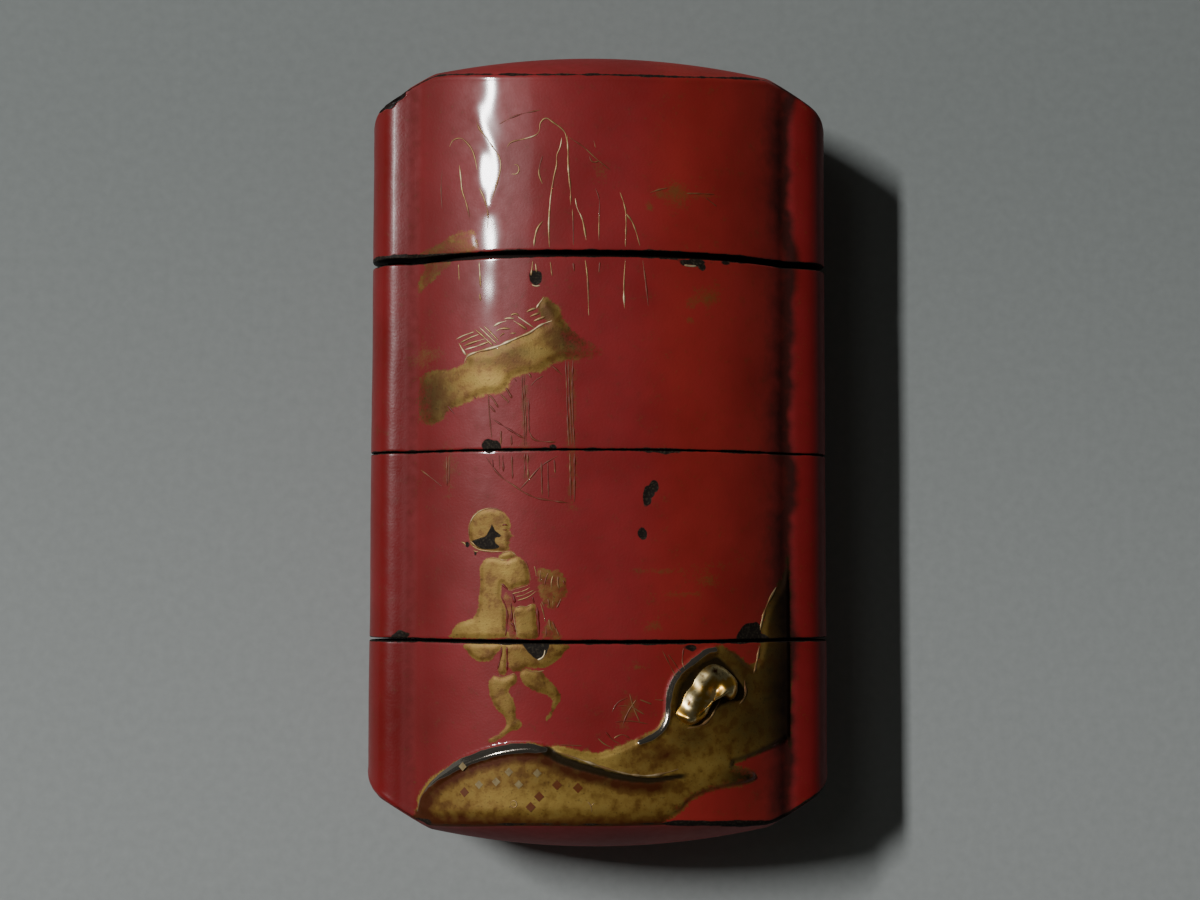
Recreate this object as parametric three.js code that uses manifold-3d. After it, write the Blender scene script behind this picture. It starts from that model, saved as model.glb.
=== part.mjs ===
// A red lacquered inro: a small case of three boxes and a lid, stacked in line, with a cord channel
// down each side. It lies on its back: X runs across it, Y towards the lid, Z up through the painted front.

import * as THREE from "three";
import { mergeVertices } from "three/addons/utils/BufferGeometryUtils.js";
import Module from "manifold-3d";

const wasm = await Module();
wasm.setup();

// Overall size
const caseWidth = 52; // over both cord runners
const caseThickness = 22; // crest of the back to crest of the front
const restFlatWidth = 4; // flat strip along the crest of the back, which the case lies on

// The stacked pieces and the seams between them, along Y
const lowerHeight = 23; // domed foot to upper edge
const middleHeight = 20.4;
const upperHeight = 20.75;
const lidHeight = 23.55; // lower edge to domed crown
const lowerSeam = 0.4;
const upperSeam = 0.3;
const lidLift = 1.1; // the lid sits a little proud

// Cross-section: a lens between two round cord runners
const grooveInset = 4.5; // side to the groove beside each runner
const faceDrop = 7; // crest of a face to its groove
const faceCurve = 2.6; // exponent of the face's curve: higher is flatter with rounder shoulders
const runnerWidth = 6.8;
const runnerThickness = 8.6;
const grooveFillet = 0.6;

// Domed ends
const crownRise = 4.3; // rim of the front face to the crown of the lid
const footRise = 3.8;
const endRadius = 87; // the rim's sweep across the case
const shoulderInset = 7.5; // side to where the shoulder begins
const shoulderSlope = 0.38;
const shoulderEase = 0.6;
const cornerRadius = 1.6;

// Walls, risers and cord channels
const lipWall = 1; // outer wall around a recess
const riserWall = 0.8;
const riserHeight = 5;
const riserEndGap = 0.4; // top of a riser to the floor of its recess
const fitGap = 0.3; // around a riser
const floorThickness = 1.4;
const endWall = 2.2; // under the crown and over the foot
const channelRadius = 1.5;
const channelWall = 1.7; // channel to the outside of the runner
const channelWeb = 1.6; // channel to the recess
const cavityCurve = 2.4; // exponent of the cavity's rounded outline

// Raised lacquer and metal inlay on the front
const bankHeight = 0.5;
const figureHeight = 0.25;
const roofHeight = 0.25;
const inlayThickness = 1;
const inlayRound = 0.45;
const inlaySunk = 0.45; // how far the pocket goes below the lacquer
const inlayGap = 0.3;

// Lost corner of lacquer on the lid's left shoulder
const chipLength = 3.4;
const chipDepth = 1.3;

const faceSteps = 12;
const runnerSteps = 6;
const endSteps = 6;
const cavitySides = 40;
const channelSides = 12;
const overshoot = 1; // how far a cut runs past the face it opens

const halfWidth = caseWidth / 2;
const halfThickness = caseThickness / 2;
const grooveX = halfWidth - grooveInset;
const runnerHalfWidth = runnerWidth / 2;
const runnerX = halfWidth - runnerHalfWidth;
const channelX = halfWidth - channelWall - channelRadius;
const recess = [channelX - channelRadius - channelWeb, halfThickness - lipWall];
const riser = recess.map((reach) => reach - fitGap);
const cavity = riser.map((reach) => reach - riserWall);
const recessDepth = riserHeight + riserEndGap;

// Half thickness of the lens at x
function faceReach(x) {
  return halfThickness - faceDrop * (Math.abs(x) / grooveX) ** faceCurve;
}

// Half thickness of the cord runner at x
function runnerReach(x) {
  const across = (Math.abs(x) - runnerX) / runnerHalfWidth;
  return (runnerThickness / 2) * Math.sqrt(Math.max(0, 1 - across ** 2));
}

// Half thickness of the case at x, with the groove between lens and runner filled to a small fillet
function frontReach(x) {
  const face = faceReach(x);
  const runner = runnerReach(x);
  const near = Math.max(0, grooveFillet - Math.abs(face - runner)) / grooveFillet;
  return Math.max(face, runner) + (near ** 2 * grooveFillet) / 4;
}

// The case's section as a ring of [x, z] from the right side over the front, z = 0 at mid thickness
function caseRing() {
  const restHalf = restFlatWidth / 2;
  const stations = [0, restHalf];
  for (let i = 1; i <= faceSteps; i++) {
    stations.push(restHalf + ((grooveX - restHalf) * i) / faceSteps);
  }
  const start = Math.asin((grooveX - runnerX) / runnerHalfWidth);
  for (let i = 1; i < runnerSteps; i++) {
    const turn = start + ((Math.PI / 2 - start) * i) / runnerSteps;
    stations.push(runnerX + runnerHalfWidth * Math.sin(turn));
  }
  const backReach = (x) => (x <= restHalf ? halfThickness : frontReach(x));
  const inner = stations.slice(1);
  return [
    [halfWidth, 0],
    ...stations.toReversed().map((x) => [x, frontReach(x)]),
    ...inner.map((x) => [-x, frontReach(x)]),
    [-halfWidth, 0],
    ...inner.toReversed().map((x) => [-x, -backReach(x)]),
    ...inner.map((x) => [x, -backReach(x)]),
  ];
}

// A rounded oblong of half sizes [a, b], as a ring of [x, z]
function cavityRing([a, b]) {
  const bend = (value) => Math.sign(value) * Math.abs(value) ** (2 / cavityCurve);
  return Array.from({ length: cavitySides }, (_, i) => {
    const turn = (2 * Math.PI * i) / cavitySides;
    return [a * bend(Math.cos(turn)), b * bend(Math.sin(turn))];
  });
}

// How far a domed end falls below its crest at (x, z)
function endDrop(x, z, rise) {
  const across = Math.abs(x);
  const past = Math.max(0, across - (halfWidth - shoulderInset));
  const corner = Math.max(0, across - (halfWidth - cornerRadius));
  return (
    x ** 2 / (2 * endRadius) +
    shoulderSlope * (Math.hypot(past, shoulderEase) - shoulderEase) +
    cornerRadius - Math.sqrt(Math.max(0, cornerRadius ** 2 - corner ** 2)) +
    rise * (z / halfThickness) ** 2
  );
}

const flatEnd = (y) => ({ at: () => y, steps: 1 });
const crownEnd = (y) => ({ at: (x, z) => y - endDrop(x, z, crownRise), steps: endSteps });
const footEnd = (y) => ({ at: (x, z) => y + endDrop(x, z, footRise), steps: endSteps });

// A closed solid along Y over a ring, between two end surfaces y = at(x, z) made of shrinking rings
function columnOver(ring, low, high) {
  const points = [];
  const faces = [];
  const count = ring.length;
  const layer = (end, share) => {
    const first = points.length / 3;
    for (const [x, z] of ring) points.push(x * share, end.at(x * share, z * share), z * share);
    return first;
  };
  const strip = (a, b) => {
    for (let i = 0; i < count; i++) {
      const next = (i + 1) % count;
      faces.push(a + i, b + i, b + next, a + i, b + next, a + next);
    }
  };
  const cap = (end, outer, upward) => {
    let edge = outer;
    for (let step = 1; step < end.steps; step++) {
      const inner = layer(end, 1 - (step / end.steps) ** 2);
      upward ? strip(edge, inner) : strip(inner, edge);
      edge = inner;
    }
    const centre = points.length / 3;
    points.push(0, end.at(0, 0), 0);
    for (let i = 0; i < count; i++) {
      const next = (i + 1) % count;
      faces.push(centre, ...(upward ? [edge + next, edge + i] : [edge + i, edge + next]));
    }
  };
  const lowEdge = layer(low, 1);
  const highEdge = layer(high, 1);
  strip(lowEdge, highEdge);
  cap(low, lowEdge, false);
  cap(high, highEdge, true);
  const geometry = new THREE.BufferGeometry();
  geometry.setAttribute("position", new THREE.Float32BufferAttribute(points, 3));
  geometry.setIndex(faces);
  return toSolid(geometry);
}

function toSolid(geometry) {
  const bare = geometry.clone();
  bare.deleteAttribute("normal");
  bare.deleteAttribute("uv");
  const merged = mergeVertices(bare);
  return new wasm.Manifold(
    new wasm.Mesh({
      numProp: 3,
      vertProperties: new Float32Array(merged.attributes.position.array),
      triVerts: new Uint32Array(merged.index.array),
    }),
  );
}

function toGeometry(solid) {
  const mesh = solid.getMesh();
  const geometry = new THREE.BufferGeometry();
  geometry.setAttribute("position", new THREE.BufferAttribute(mesh.vertProperties, 3));
  geometry.setIndex(new THREE.BufferAttribute(mesh.triVerts, 1));
  geometry.computeVertexNormals();
  return geometry;
}

// Outlines of the picture, in hundredths of the case's half width, measured from the middle of a seam.
// The lower seam is the origin of the bank, the walking figure and the inlay, the upper one of the roof.
const pictureUnit = halfWidth / 100;
const bankOutline = [
  [-79, -81], [-77, -69], [-75, -61], [-67, -53], [-53, -48], [-40, -42], [-29, -42], [-17, -44],
  [-5, -46], [8, -42], [22, -37], [27, -31], [27, -23], [30, -14], [38, -7], [47, -3],
  [54, -5], [62, -12], [67, -7], [67, 2], [68, 8], [71, 16], [78, 26], [85, 29],
  [85, -41], [74, -46], [59, -50], [65, -56], [57, -61], [42, -62], [32, -69], [22, -76], [19, -81],
];
const figureOutline = [
  [-46, 56], [-37, 50], [-38, 41], [-37, 35], [-30, 29], [-19, 27], [-16, 20], [-17, 4],
  [-17, -2], [-25, -12], [-23, -19], [-18, -22], [-21, -30], [-23, -32], [-25, -23], [-35, -18],
  [-39, -20], [-36, -26], [-35, -34], [-47, -41], [-41, -32], [-48, -19], [-44, -9], [-55, -6],
  [-61, 3], [-55, 9], [-52, 21], [-49, 34], [-53, 38], [-55, 46],
];
const roofOutline = [
  [-79, 32], [-62, 36], [-58, 40], [-44, 44], [-29, 50], [-22, 63], [-16, 56],
  [-1, 42], [-7, 39], [-30, 33], [-44, 24], [-65, 17], [-78, 13], [-79, 22],
];
const inlayOutline = [
  [-12, -6], [-9, -13], [-5, -13], [2, -4], [13, 0], [13, 4], [7, 10], [2, 11], [-4, 7], [-9, -1],
];
const inlayCentre = [43, -21];

// A closed shape through an outline's points, grown by a margin about the outline's own centre
function shapeThrough(outline, margin = 0) {
  const corners = outline.map(([across, along]) => {
    const point = new THREE.Vector2(across, along).multiplyScalar(pictureUnit);
    return margin ? point.setLength(point.length() + margin) : point;
  });
  return new THREE.Shape(corners);
}

// Adds lacquer of the given height to a piece's front, inside an outline measured from seamY
function raise(piece, outline, height, seamY) {
  const prism = toSolid(
    new THREE.ExtrudeGeometry(shapeThrough(outline), {
      depth: halfThickness + height + overshoot,
      bevelEnabled: false,
    }).translate(0, seamY, 0),
  );
  return piece.add(piece.translate([0, 0, height]).intersect(prism));
}

function cordChannels(length) {
  const centre = length / 2;
  const cut = (x) =>
    toSolid(
      new THREE.CylinderGeometry(channelRadius, channelRadius, length + 2 * overshoot, channelSides)
        .translate(x, centre, 0),
    );
  return cut(channelX).add(cut(-channelX));
}

// The recess under a piece, which takes the riser of the piece below
const recessCut = () =>
  columnOver(cavityRing(recess), flatEnd(-overshoot), flatEnd(recessDepth));

// The riser of a box of the given height, and the room inside box and riser down to a floor
const riserOn = (height) =>
  columnOver(cavityRing(riser), flatEnd(height - floorThickness), flatEnd(height + riserHeight));
const roomIn = (height, floor) =>
  columnOver(cavityRing(cavity), floor, flatEnd(height + riserHeight + overshoot));

// Where each seam's middle lies, in the coordinates of the piece above or below it
const belowPiece = (seam) => -seam / 2;
const abovePiece = (height, seam) => height + seam / 2;

function buildLower() {
  const seamY = abovePiece(lowerHeight, lowerSeam);
  let body = columnOver(caseRing(), footEnd(0), flatEnd(lowerHeight));
  body = raise(body, figureOutline, figureHeight, seamY);
  body = raise(body, bankOutline, bankHeight, seamY);
  return body
    .add(riserOn(lowerHeight))
    .subtract(roomIn(lowerHeight, footEnd(endWall)))
    .subtract(cordChannels(lowerHeight))
    .subtract(inlaySolid(inlayGap).translate([0, seamY, 0]));
}

function buildMiddle() {
  const seamY = belowPiece(lowerSeam);
  let body = columnOver(caseRing(), flatEnd(0), flatEnd(middleHeight));
  body = raise(body, figureOutline, figureHeight, seamY);
  body = raise(body, bankOutline, bankHeight, seamY);
  return hollowBox(body, middleHeight);
}

function buildUpper() {
  const body = columnOver(caseRing(), flatEnd(0), flatEnd(upperHeight));
  return hollowBox(raise(body, roofOutline, roofHeight, belowPiece(upperSeam)), upperHeight);
}

// A box with a riser above, a recess below and a floor between
function hollowBox(body, height) {
  return body
    .add(riserOn(height))
    .subtract(roomIn(height, flatEnd(recessDepth + floorThickness)))
    .subtract(recessCut())
    .subtract(cordChannels(height));
}

function buildLid() {
  const room = columnOver(cavityRing(recess), flatEnd(-overshoot), crownEnd(lidHeight - endWall));
  return columnOver(caseRing(), flatEnd(0), crownEnd(lidHeight))
    .subtract(room)
    .subtract(cordChannels(lidHeight))
    .subtract(shoulderChip());
}

// A shallow scoop out of the lid's left shoulder
function shoulderChip() {
  const x = grooveX + chipDepth;
  const y = lidHeight - endDrop(x, frontReach(x), crownRise);
  return toSolid(
    new THREE.IcosahedronGeometry(1, 1)
      .scale(chipLength / 2, chipDepth, chipDepth)
      .rotateZ(Math.atan(shoulderSlope))
      .translate(-x, y, frontReach(x)),
  );
}

// The metal inlay, or with a margin its pocket, measured from the lower seam
function inlaySolid(margin) {
  const [x, y] = inlayCentre.map((share) => share * pictureUnit);
  const lean = Math.atan((faceDrop * faceCurve / grooveX) * (x / grooveX) ** (faceCurve - 1));
  const pebble = new THREE.ExtrudeGeometry(shapeThrough(inlayOutline, margin - inlayRound), {
    depth: inlayThickness - inlayRound + margin + (margin > 0 ? overshoot : 0),
    bevelEnabled: true,
    bevelThickness: inlayRound,
    bevelSize: inlayRound,
    bevelSegments: 3,
  });
  return toSolid(
    pebble
      .translate(0, 0, bankHeight - inlaySunk - margin)
      .rotateY(lean)
      .translate(x, y, faceReach(x)),
  );
}

const lacquer = new THREE.MeshStandardMaterial({ color: "#7c2018", roughness: 0.28, metalness: 0 });
const metal = new THREE.MeshStandardMaterial({ color: "#b9a477", roughness: 0.25, metalness: 1 });

const middleY = lowerHeight + lowerSeam;
const upperY = middleY + middleHeight + upperSeam;
const lidY = upperY + upperHeight + lidLift;

const pieces = [
  ["lower_case", buildLower(), lacquer, 0],
  ["middle_case", buildMiddle(), lacquer, middleY],
  ["upper_case", buildUpper(), lacquer, upperY],
  ["lid", buildLid(), lacquer, lidY],
  ["pebble_inlay", inlaySolid(0), metal, abovePiece(lowerHeight, lowerSeam)],
];

const inro = new THREE.Group();
inro.position.set(0, -(lidY + lidHeight) / 2, halfThickness);
for (const [name, solid, material, y] of pieces) {
  const mesh = new THREE.Mesh(toGeometry(solid), material.clone());
  mesh.name = name;
  mesh.position.y = y;
  inro.add(mesh);
}

export default inro;
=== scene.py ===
import math

import bmesh
import bpy
import numpy as np
from mathutils import Matrix, Vector


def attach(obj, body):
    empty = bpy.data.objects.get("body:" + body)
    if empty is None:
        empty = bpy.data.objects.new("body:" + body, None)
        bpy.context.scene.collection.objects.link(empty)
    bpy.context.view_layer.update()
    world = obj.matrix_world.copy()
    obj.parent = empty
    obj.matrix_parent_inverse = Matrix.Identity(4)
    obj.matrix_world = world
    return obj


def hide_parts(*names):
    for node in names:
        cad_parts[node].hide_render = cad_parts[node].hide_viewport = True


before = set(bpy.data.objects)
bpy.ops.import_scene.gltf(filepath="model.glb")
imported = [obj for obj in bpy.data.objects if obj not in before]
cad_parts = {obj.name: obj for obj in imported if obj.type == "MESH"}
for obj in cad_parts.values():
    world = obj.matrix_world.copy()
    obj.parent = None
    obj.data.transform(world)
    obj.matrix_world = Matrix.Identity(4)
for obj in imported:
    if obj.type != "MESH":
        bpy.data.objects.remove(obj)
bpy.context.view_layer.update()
mm = 0.001


def toLinear(code):  # sRGB hex to the linear colour that shaders use
    parts = [int(code[i : i + 2], 16) / 255 for i in (1, 3, 5)]
    return tuple(c / 12.92 if c <= 0.04045 else ((c + 0.055) / 1.055) ** 2.4 for c in parts) + (1.0,)


def addObject(name, data):
    obj = bpy.data.objects.new(name, data)
    bpy.context.scene.collection.objects.link(obj)
    return obj


camera = {
    "place": (-9.67, -13.16, 214.3),  # mm
    "turn": (-0.0639, 0.0478, -0.0049),  # radians about X, Y and Z, world to camera
    "lens": 53.49,
    "sensor": 36,
}


def placeCamera():
    data = bpy.data.cameras.new("camera")
    data.lens = camera["lens"]
    data.sensor_width = camera["sensor"]
    data.sensor_fit = "HORIZONTAL"
    data.clip_start = 0.01
    data.clip_end = 20
    obj = addObject("camera", data)
    aboutX, aboutY, aboutZ = camera["turn"]
    turn = Matrix.Rotation(aboutZ, 4, "Z") @ Matrix.Rotation(aboutY, 4, "Y")
    turn = turn @ Matrix.Rotation(aboutX, 4, "X")
    obj.matrix_world = Matrix.Translation(Vector(camera["place"]) * mm) @ turn.transposed()
    bpy.context.scene.camera = obj


# A long lamp above and to the left of the case's head, with a dim panel beside it, in an otherwise dim room
lamps = {
    "tube": {"place": (-694, 346, 811), "aim": (0, 346, 15), "size": (268, 62), "power": 8.9},
    "panel": {"place": (-420, 330, 860), "aim": (0, 330, 15), "size": (400, 200), "power": 0.16},
}


def placeLamps():
    for name, lamp in lamps.items():
        data = bpy.data.lights.new(name, "AREA")
        data.shape = "RECTANGLE"
        data.size, data.size_y = (s * mm for s in lamp["size"])
        data.energy = lamp["power"]
        obj = addObject(name, data)
        place, aim = Vector(lamp["place"]) * mm, Vector(lamp["aim"]) * mm
        turn = (aim - place).to_track_quat("-Z", "Y").to_matrix().to_4x4()
        obj.matrix_world = Matrix.Translation(place) @ turn
    world = bpy.data.worlds.new("dim room")
    world.use_nodes = True
    world.node_tree.nodes["Background"].inputs["Color"].default_value = toLinear("#2c2d2b")
    bpy.context.scene.world = world


def addNode(tree, kind, values=None, **settings):
    # Adds one node. A value that is a socket is linked, any other is set.
    node = tree.nodes.new(kind)
    for name, setting in settings.items():
        setattr(node, name, setting)
    for key, value in (values or {}).items():
        if isinstance(value, bpy.types.NodeSocket):
            tree.links.new(value, node.inputs[key])
        else:
            node.inputs[key].default_value = value
    return node


# Form of the case, in mm: X across, Y along from the middle, Z up from mid thickness
case = {
    "halfWidth": 26,
    "halfThickness": 11,
    "grooveX": 21.5,
    "faceDrop": 7,
    "faceCurve": 2.6,
    "runnerX": 22.6,
    "runnerHalfWidth": 3.4,
    "runnerHalfThickness": 4.3,
    "grooveFillet": 2.0,
    "footEnd": -44.75,
    "crownEnd": 44.75,
    "footRise": 3.8,
    "crownRise": 4.3,
    "endRadius": 87,
    "shoulderInset": 7.5,
    "shoulderSlope": 0.38,
    "shoulderEase": 0.6,
    "cornerRadius": 1.6,
    "recess": (19.7, 10),
    "riser": (19.4, 9.7),
    "cavity": (18.6, 8.9),
    "cavityCurve": 2.4,
    "recessDepth": 5.4,
    "riserHeight": 5,
    "floor": 1.4,
    "endWall": 2.2,
    "channelX": 22.8,
    "channelRadius": 1.5,
    "seamRound": 0.16,
    "rimRound": 0.5,
    "frontPoints": 372,
    "backPoints": 96,
    "rowHeight": 0.17,
}


def faceReach(x):
    return case["halfThickness"] - case["faceDrop"] * (np.abs(x) / case["grooveX"]) ** case["faceCurve"]


def frontReach(x):
    face = faceReach(x)
    across = (np.abs(x) - case["runnerX"]) / case["runnerHalfWidth"]
    runner = case["runnerHalfThickness"] * np.sqrt(np.maximum(0, 1 - across**2))
    near = np.maximum(0, case["grooveFillet"] - np.abs(face - runner)) / case["grooveFillet"]
    return np.maximum(face, runner) + near**2 * case["grooveFillet"] / 4


def endDrop(x, z, rise):  # how far a domed end falls below its crest
    across = np.abs(x)
    past = np.maximum(0, across - (case["halfWidth"] - case["shoulderInset"]))
    corner = np.maximum(0, across - (case["halfWidth"] - case["cornerRadius"]))
    return (
        x**2 / (2 * case["endRadius"])
        + case["shoulderSlope"] * (np.hypot(past, case["shoulderEase"]) - case["shoulderEase"])
        + case["cornerRadius"]
        - np.sqrt(np.maximum(0, case["cornerRadius"] ** 2 - corner**2))
        + rise * (z / case["halfThickness"]) ** 2
    )


def spread(points, count):  # points evenly spaced along an open line
    run = np.concatenate([[0], np.cumsum(np.hypot(*np.diff(points, axis=0).T))])
    at = np.linspace(0, run[-1], count)
    return np.stack([np.interp(at, run, points[:, i]) for i in (0, 1)], 1)


def caseRing():  # [x, z] from the right side over the front, then back under
    x = case["halfWidth"] * np.sin(np.linspace(math.pi / 2, -math.pi / 2, 24001))
    half = np.stack([x, frontReach(x)], 1)
    half[[0, -1], 1] = 0
    front = spread(half, case["frontPoints"] + 1)[:-1]
    back = spread(half, case["backPoints"] + 1)[:-1]
    return np.concatenate([front, -back])


def oblongRing(halfSizes):  # a rounded oblong whose points match the case's ring
    turn = np.linspace(0, math.pi, 6001)
    bend = lambda v: np.sign(v) * np.abs(v) ** (2 / case["cavityCurve"])
    half = np.stack([halfSizes[0] * bend(np.cos(turn)), halfSizes[1] * bend(np.sin(turn))], 1)
    front = spread(half, case["frontPoints"] + 1)[:-1]
    back = spread(half, case["backPoints"] + 1)[:-1]
    return np.concatenate([front, -back])


ring = caseRing()
ahead = np.roll(ring, -1, 0) - np.roll(ring, 1, 0)
ahead /= np.linalg.norm(ahead, axis=1)[:, None]
outward = np.stack([ahead[:, 1], -ahead[:, 0]], 1)
recessRing, riserRing, cavityRing = (oblongRing(case[k]) for k in ("recess", "riser", "cavity"))


def nearness(x, y, line, closed=False):  # distance from points to a line through points
    line = np.array(line, float)
    ends = np.roll(line, -1, 0) if closed else line[1:]
    starts = line if closed else line[:-1]
    best = np.full(x.shape, 1e9)
    for (ax, ay), (bx, by) in zip(starts, ends):
        ux, uy = bx - ax, by - ay
        along = np.clip(((x - ax) * ux + (y - ay) * uy) / max(1e-9, ux * ux + uy * uy), 0, 1)
        best = np.minimum(best, np.hypot(x - ax - along * ux, y - ay - along * uy))
    return best


def depthIn(x, y, outline):  # distance to an outline, positive inside
    outline = np.array(outline, float)
    reach = 2.5
    far = (
        (x < outline[:, 0].min() - reach) | (x > outline[:, 0].max() + reach)
        | (y < outline[:, 1].min() - reach) | (y > outline[:, 1].max() + reach)
    )
    result = np.full(x.shape, -reach)
    px, py = x[~far], y[~far]
    inside = np.zeros(px.shape, bool)
    for (ax, ay), (bx, by) in zip(outline, np.roll(outline, -1, 0)):
        if ay != by:
            inside ^= ((ay > py) != (by > py)) & (px < (bx - ax) * (py - ay) / (by - ay) + ax)
    result[~far] = nearness(px, py, outline, True) * np.where(inside, 1, -1)
    return result


def ease(low, high, value):  # smooth step from 0 at low to 1 at high
    t = np.clip((value - low) / (high - low), 0, 1)
    return t * t * (3 - 2 * t)


def rounded(points, between=4):  # a closed outline as a smooth curve through its points
    points = np.array(points, float)
    before, after, beyond = (np.roll(points, k, 0) for k in (1, -1, -2))
    steps = []
    for t in np.arange(between) / between:
        steps.append(
            0.5 * (
                2 * points + (after - before) * t + (2 * before - 5 * points + 4 * after - beyond) * t**2
                + (3 * points - before - 3 * after + beyond) * t**3
            )
        )
    return np.stack(steps, 1).reshape(-1, 2)


def smoothLine(points, spacing=0.25):  # an open line as a smooth curve, evenly spaced
    points = np.array(points, float)
    if len(points) > 2:
        for _ in range(3):
            near = points[:-1] * 0.75 + points[1:] * 0.25
            far = points[:-1] * 0.25 + points[1:] * 0.75
            points = np.concatenate([points[:1], np.stack([near, far], 1).reshape(-1, 2), points[-1:]])
    length = np.hypot(*np.diff(points, axis=0).T).sum()
    return spread(points, max(3, int(length / spacing) + 1))


def ripple(x, y, seed, size, count=24):  # smooth noise about 0, of bumps about size mm across
    rng = np.random.default_rng(seed)
    turn = rng.uniform(0, 2 * math.pi, count)
    pitch = 2 * math.pi / (size * rng.uniform(1.2, 3, count))
    phase = rng.uniform(0, 2 * math.pi, count)
    waves = zip(pitch, turn, phase)
    total = sum(np.sin(x * p * math.cos(t) + y * p * math.sin(t) + f) for p, t, f in waves)
    return total / math.sqrt(count / 2)


# The picture on the front, as outlines and strokes in mm from the middle of the case
figureHead = {"back": -14.7, "crown": -7.1, "width": 5.05, "height": 4.7}
headShares = {  # textbook proportions: shares of the width from the back, and of the height from the crown
    "skull": [(0.02, 0.7), (0, 0.5), (0.06, 0.26), (0.2, 0.09), (0.4, 0.01), (0.58, 0.01), (0.74, 0.09)],
    "profile": [
        (0.86, 0.22), (0.9, 0.34), (0.91, 0.42), (0.88, 0.5), (0.93, 0.6), (0.98, 0.66), (0.91, 0.69),
        (0.92, 0.73), (0.89, 0.76), (0.91, 0.8), (0.88, 0.86), (0.89, 0.94),
    ],
    "jaw": [(0.82, 1), (0.64, 1.01), (0.42, 1), (0.22, 0.97), (0.08, 0.87)],
    "eye": [(0.74, 0.5), (0.79, 0.52), (0.84, 0.5)],
    "brow": [(0.73, 0.41), (0.79, 0.38), (0.85, 0.41)],
    "mouth": [(0.82, 0.755), (0.86, 0.765), (0.89, 0.76)],
}


def onHead(*names):  # parts of the head, from shares to mm
    back, crown = figureHead["back"], figureHead["crown"]
    width, height = figureHead["width"], figureHead["height"]
    return [(back + width * x, crown - height * y) for name in names for x, y in headShares[name]]


figureParts = {
    "head": onHead("skull", "profile", "jaw"),
    "neck": [
        (-11.4, -12.5), (-11.1, -12.1), (-10.5, -11.8), (-10, -11.8), (-9.5, -12.2), (-9.4, -12.4),
        (-10, -12.6), (-10.5, -12.7), (-11.1, -12.7),
    ],
    "cloak": [
        (-12.7, -12.6), (-13.1, -12.9), (-13.4, -13.6), (-13.4, -14.6), (-13.4, -15.7), (-13.5, -16.9),
        (-13.6, -17.9), (-14, -18.8), (-14.4, -19.2), (-15.1, -19.4), (-15.9, -19.8), (-16.2, -20.2),
        (-16.5, -20.8), (-16.4, -21.2), (-10.6, -21.1), (-10.5, -20), (-10.5, -18.8), (-10.6, -17.9),
        (-10.9, -17.2), (-11.1, -16.7), (-11.1, -16), (-11, -15.3), (-10.6, -15.6), (-10.1, -16),
        (-9.5, -15.7), (-8.8, -15.5), (-8.1, -15.3), (-8, -14.8), (-8.1, -13.9), (-8.3, -13.2),
        (-8.8, -12.7), (-9.3, -12.4), (-10, -12.6), (-10.5, -12.8), (-11.4, -12.6), (-12.1, -12.5),
    ],
    "panel": [
        (-9.6, -18), (-8.9, -17.7), (-8.3, -17.8), (-7.9, -17.5), (-7.4, -17.6), (-7.3, -18.4),
        (-7.2, -19.6), (-7.1, -21.1), (-9.2, -21.1), (-9.4, -20.4), (-9.5, -19.2), (-9.6, -18.7),
    ],
    "strip": [
        (-10.6, -16.3), (-10.1, -16.9), (-9.8, -17.6), (-9.7, -18.4), (-9.9, -19.2), (-9.8, -19.9),
        (-9.4, -20.8), (-9.5, -21.1), (-10.3, -21.1), (-10.3, -20), (-10.3, -18.9), (-10.4, -17.8),
        (-10.8, -17),
    ],
    "hem": [
        (-6.4, -21.1), (-6.3, -19.9), (-6, -19.1), (-5.7, -19.2), (-5.2, -20.1), (-4.7, -21.1),
    ],
    "bundle": [
        (-7.1, -14.1), (-6.7, -13.7), (-5.8, -13.9), (-5, -13.9), (-4.4, -14.4), (-4, -15.2),
        (-4.1, -16.3), (-4.6, -17.1), (-5.2, -17.9), (-6, -17.8), (-6.5, -17.2), (-6.9, -16.3),
        (-7, -15.2),
    ],
    "lobe": [
        (-15, -21.9), (-14.8, -22.6), (-14.2, -23.3), (-13.3, -23.7), (-12.2, -23.6), (-11.6, -22.9),
        (-11.2, -21.8),
    ],
    "sash": [
        (-11, -21.8), (-11, -22.9), (-11.4, -24.5), (-11.3, -25), (-10.7, -25.1), (-10.4, -24.7),
        (-10.4, -23.2), (-10.5, -21.8),
    ],
    "skirt": [
        (-10.2, -21.8), (-10.3, -22.9), (-10.2, -23.9), (-9.9, -24.7), (-9, -24.7), (-8.3, -24.3),
        (-6.5, -24.3), (-5.5, -23.8), (-4.7, -23.2), (-4.2, -22.6), (-4, -21.8),
    ],
    "leftLeg": [
        (-12.4, -26.3), (-12.2, -25.6), (-11.7, -25.2), (-10.9, -25.4), (-10.1, -25.1), (-9.5, -24.9),
        (-9.3, -25.4), (-9.4, -26), (-10.1, -26.5), (-10.2, -27), (-9.7, -27.7), (-9.4, -28.7),
        (-9.4, -29.6), (-9, -29.9), (-8.8, -30.4), (-9.2, -30.9), (-9.9, -31.1), (-10.8, -31.7),
        (-11.7, -32.3), (-12.4, -32.3), (-12.3, -32), (-11.5, -31.6), (-10.6, -30.8), (-10.4, -30.1),
        (-10.8, -29.4), (-11.5, -28.8), (-12.1, -27.7),
    ],
    "rightLeg": [
        (-9, -25), (-8.6, -24.5), (-7.6, -24.6), (-6.6, -24.7), (-6.2, -25.3), (-5.3, -26.2),
        (-4.7, -27), (-4.7, -27.8), (-5.1, -28.4), (-5.4, -29), (-6, -29.8), (-6.2, -29.7),
        (-5.7, -28.9), (-5.5, -28), (-5.6, -27.6), (-6.2, -27.1), (-7.2, -26.9), (-8.3, -26.3),
        (-8.8, -25.7),
    ],
}
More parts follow.
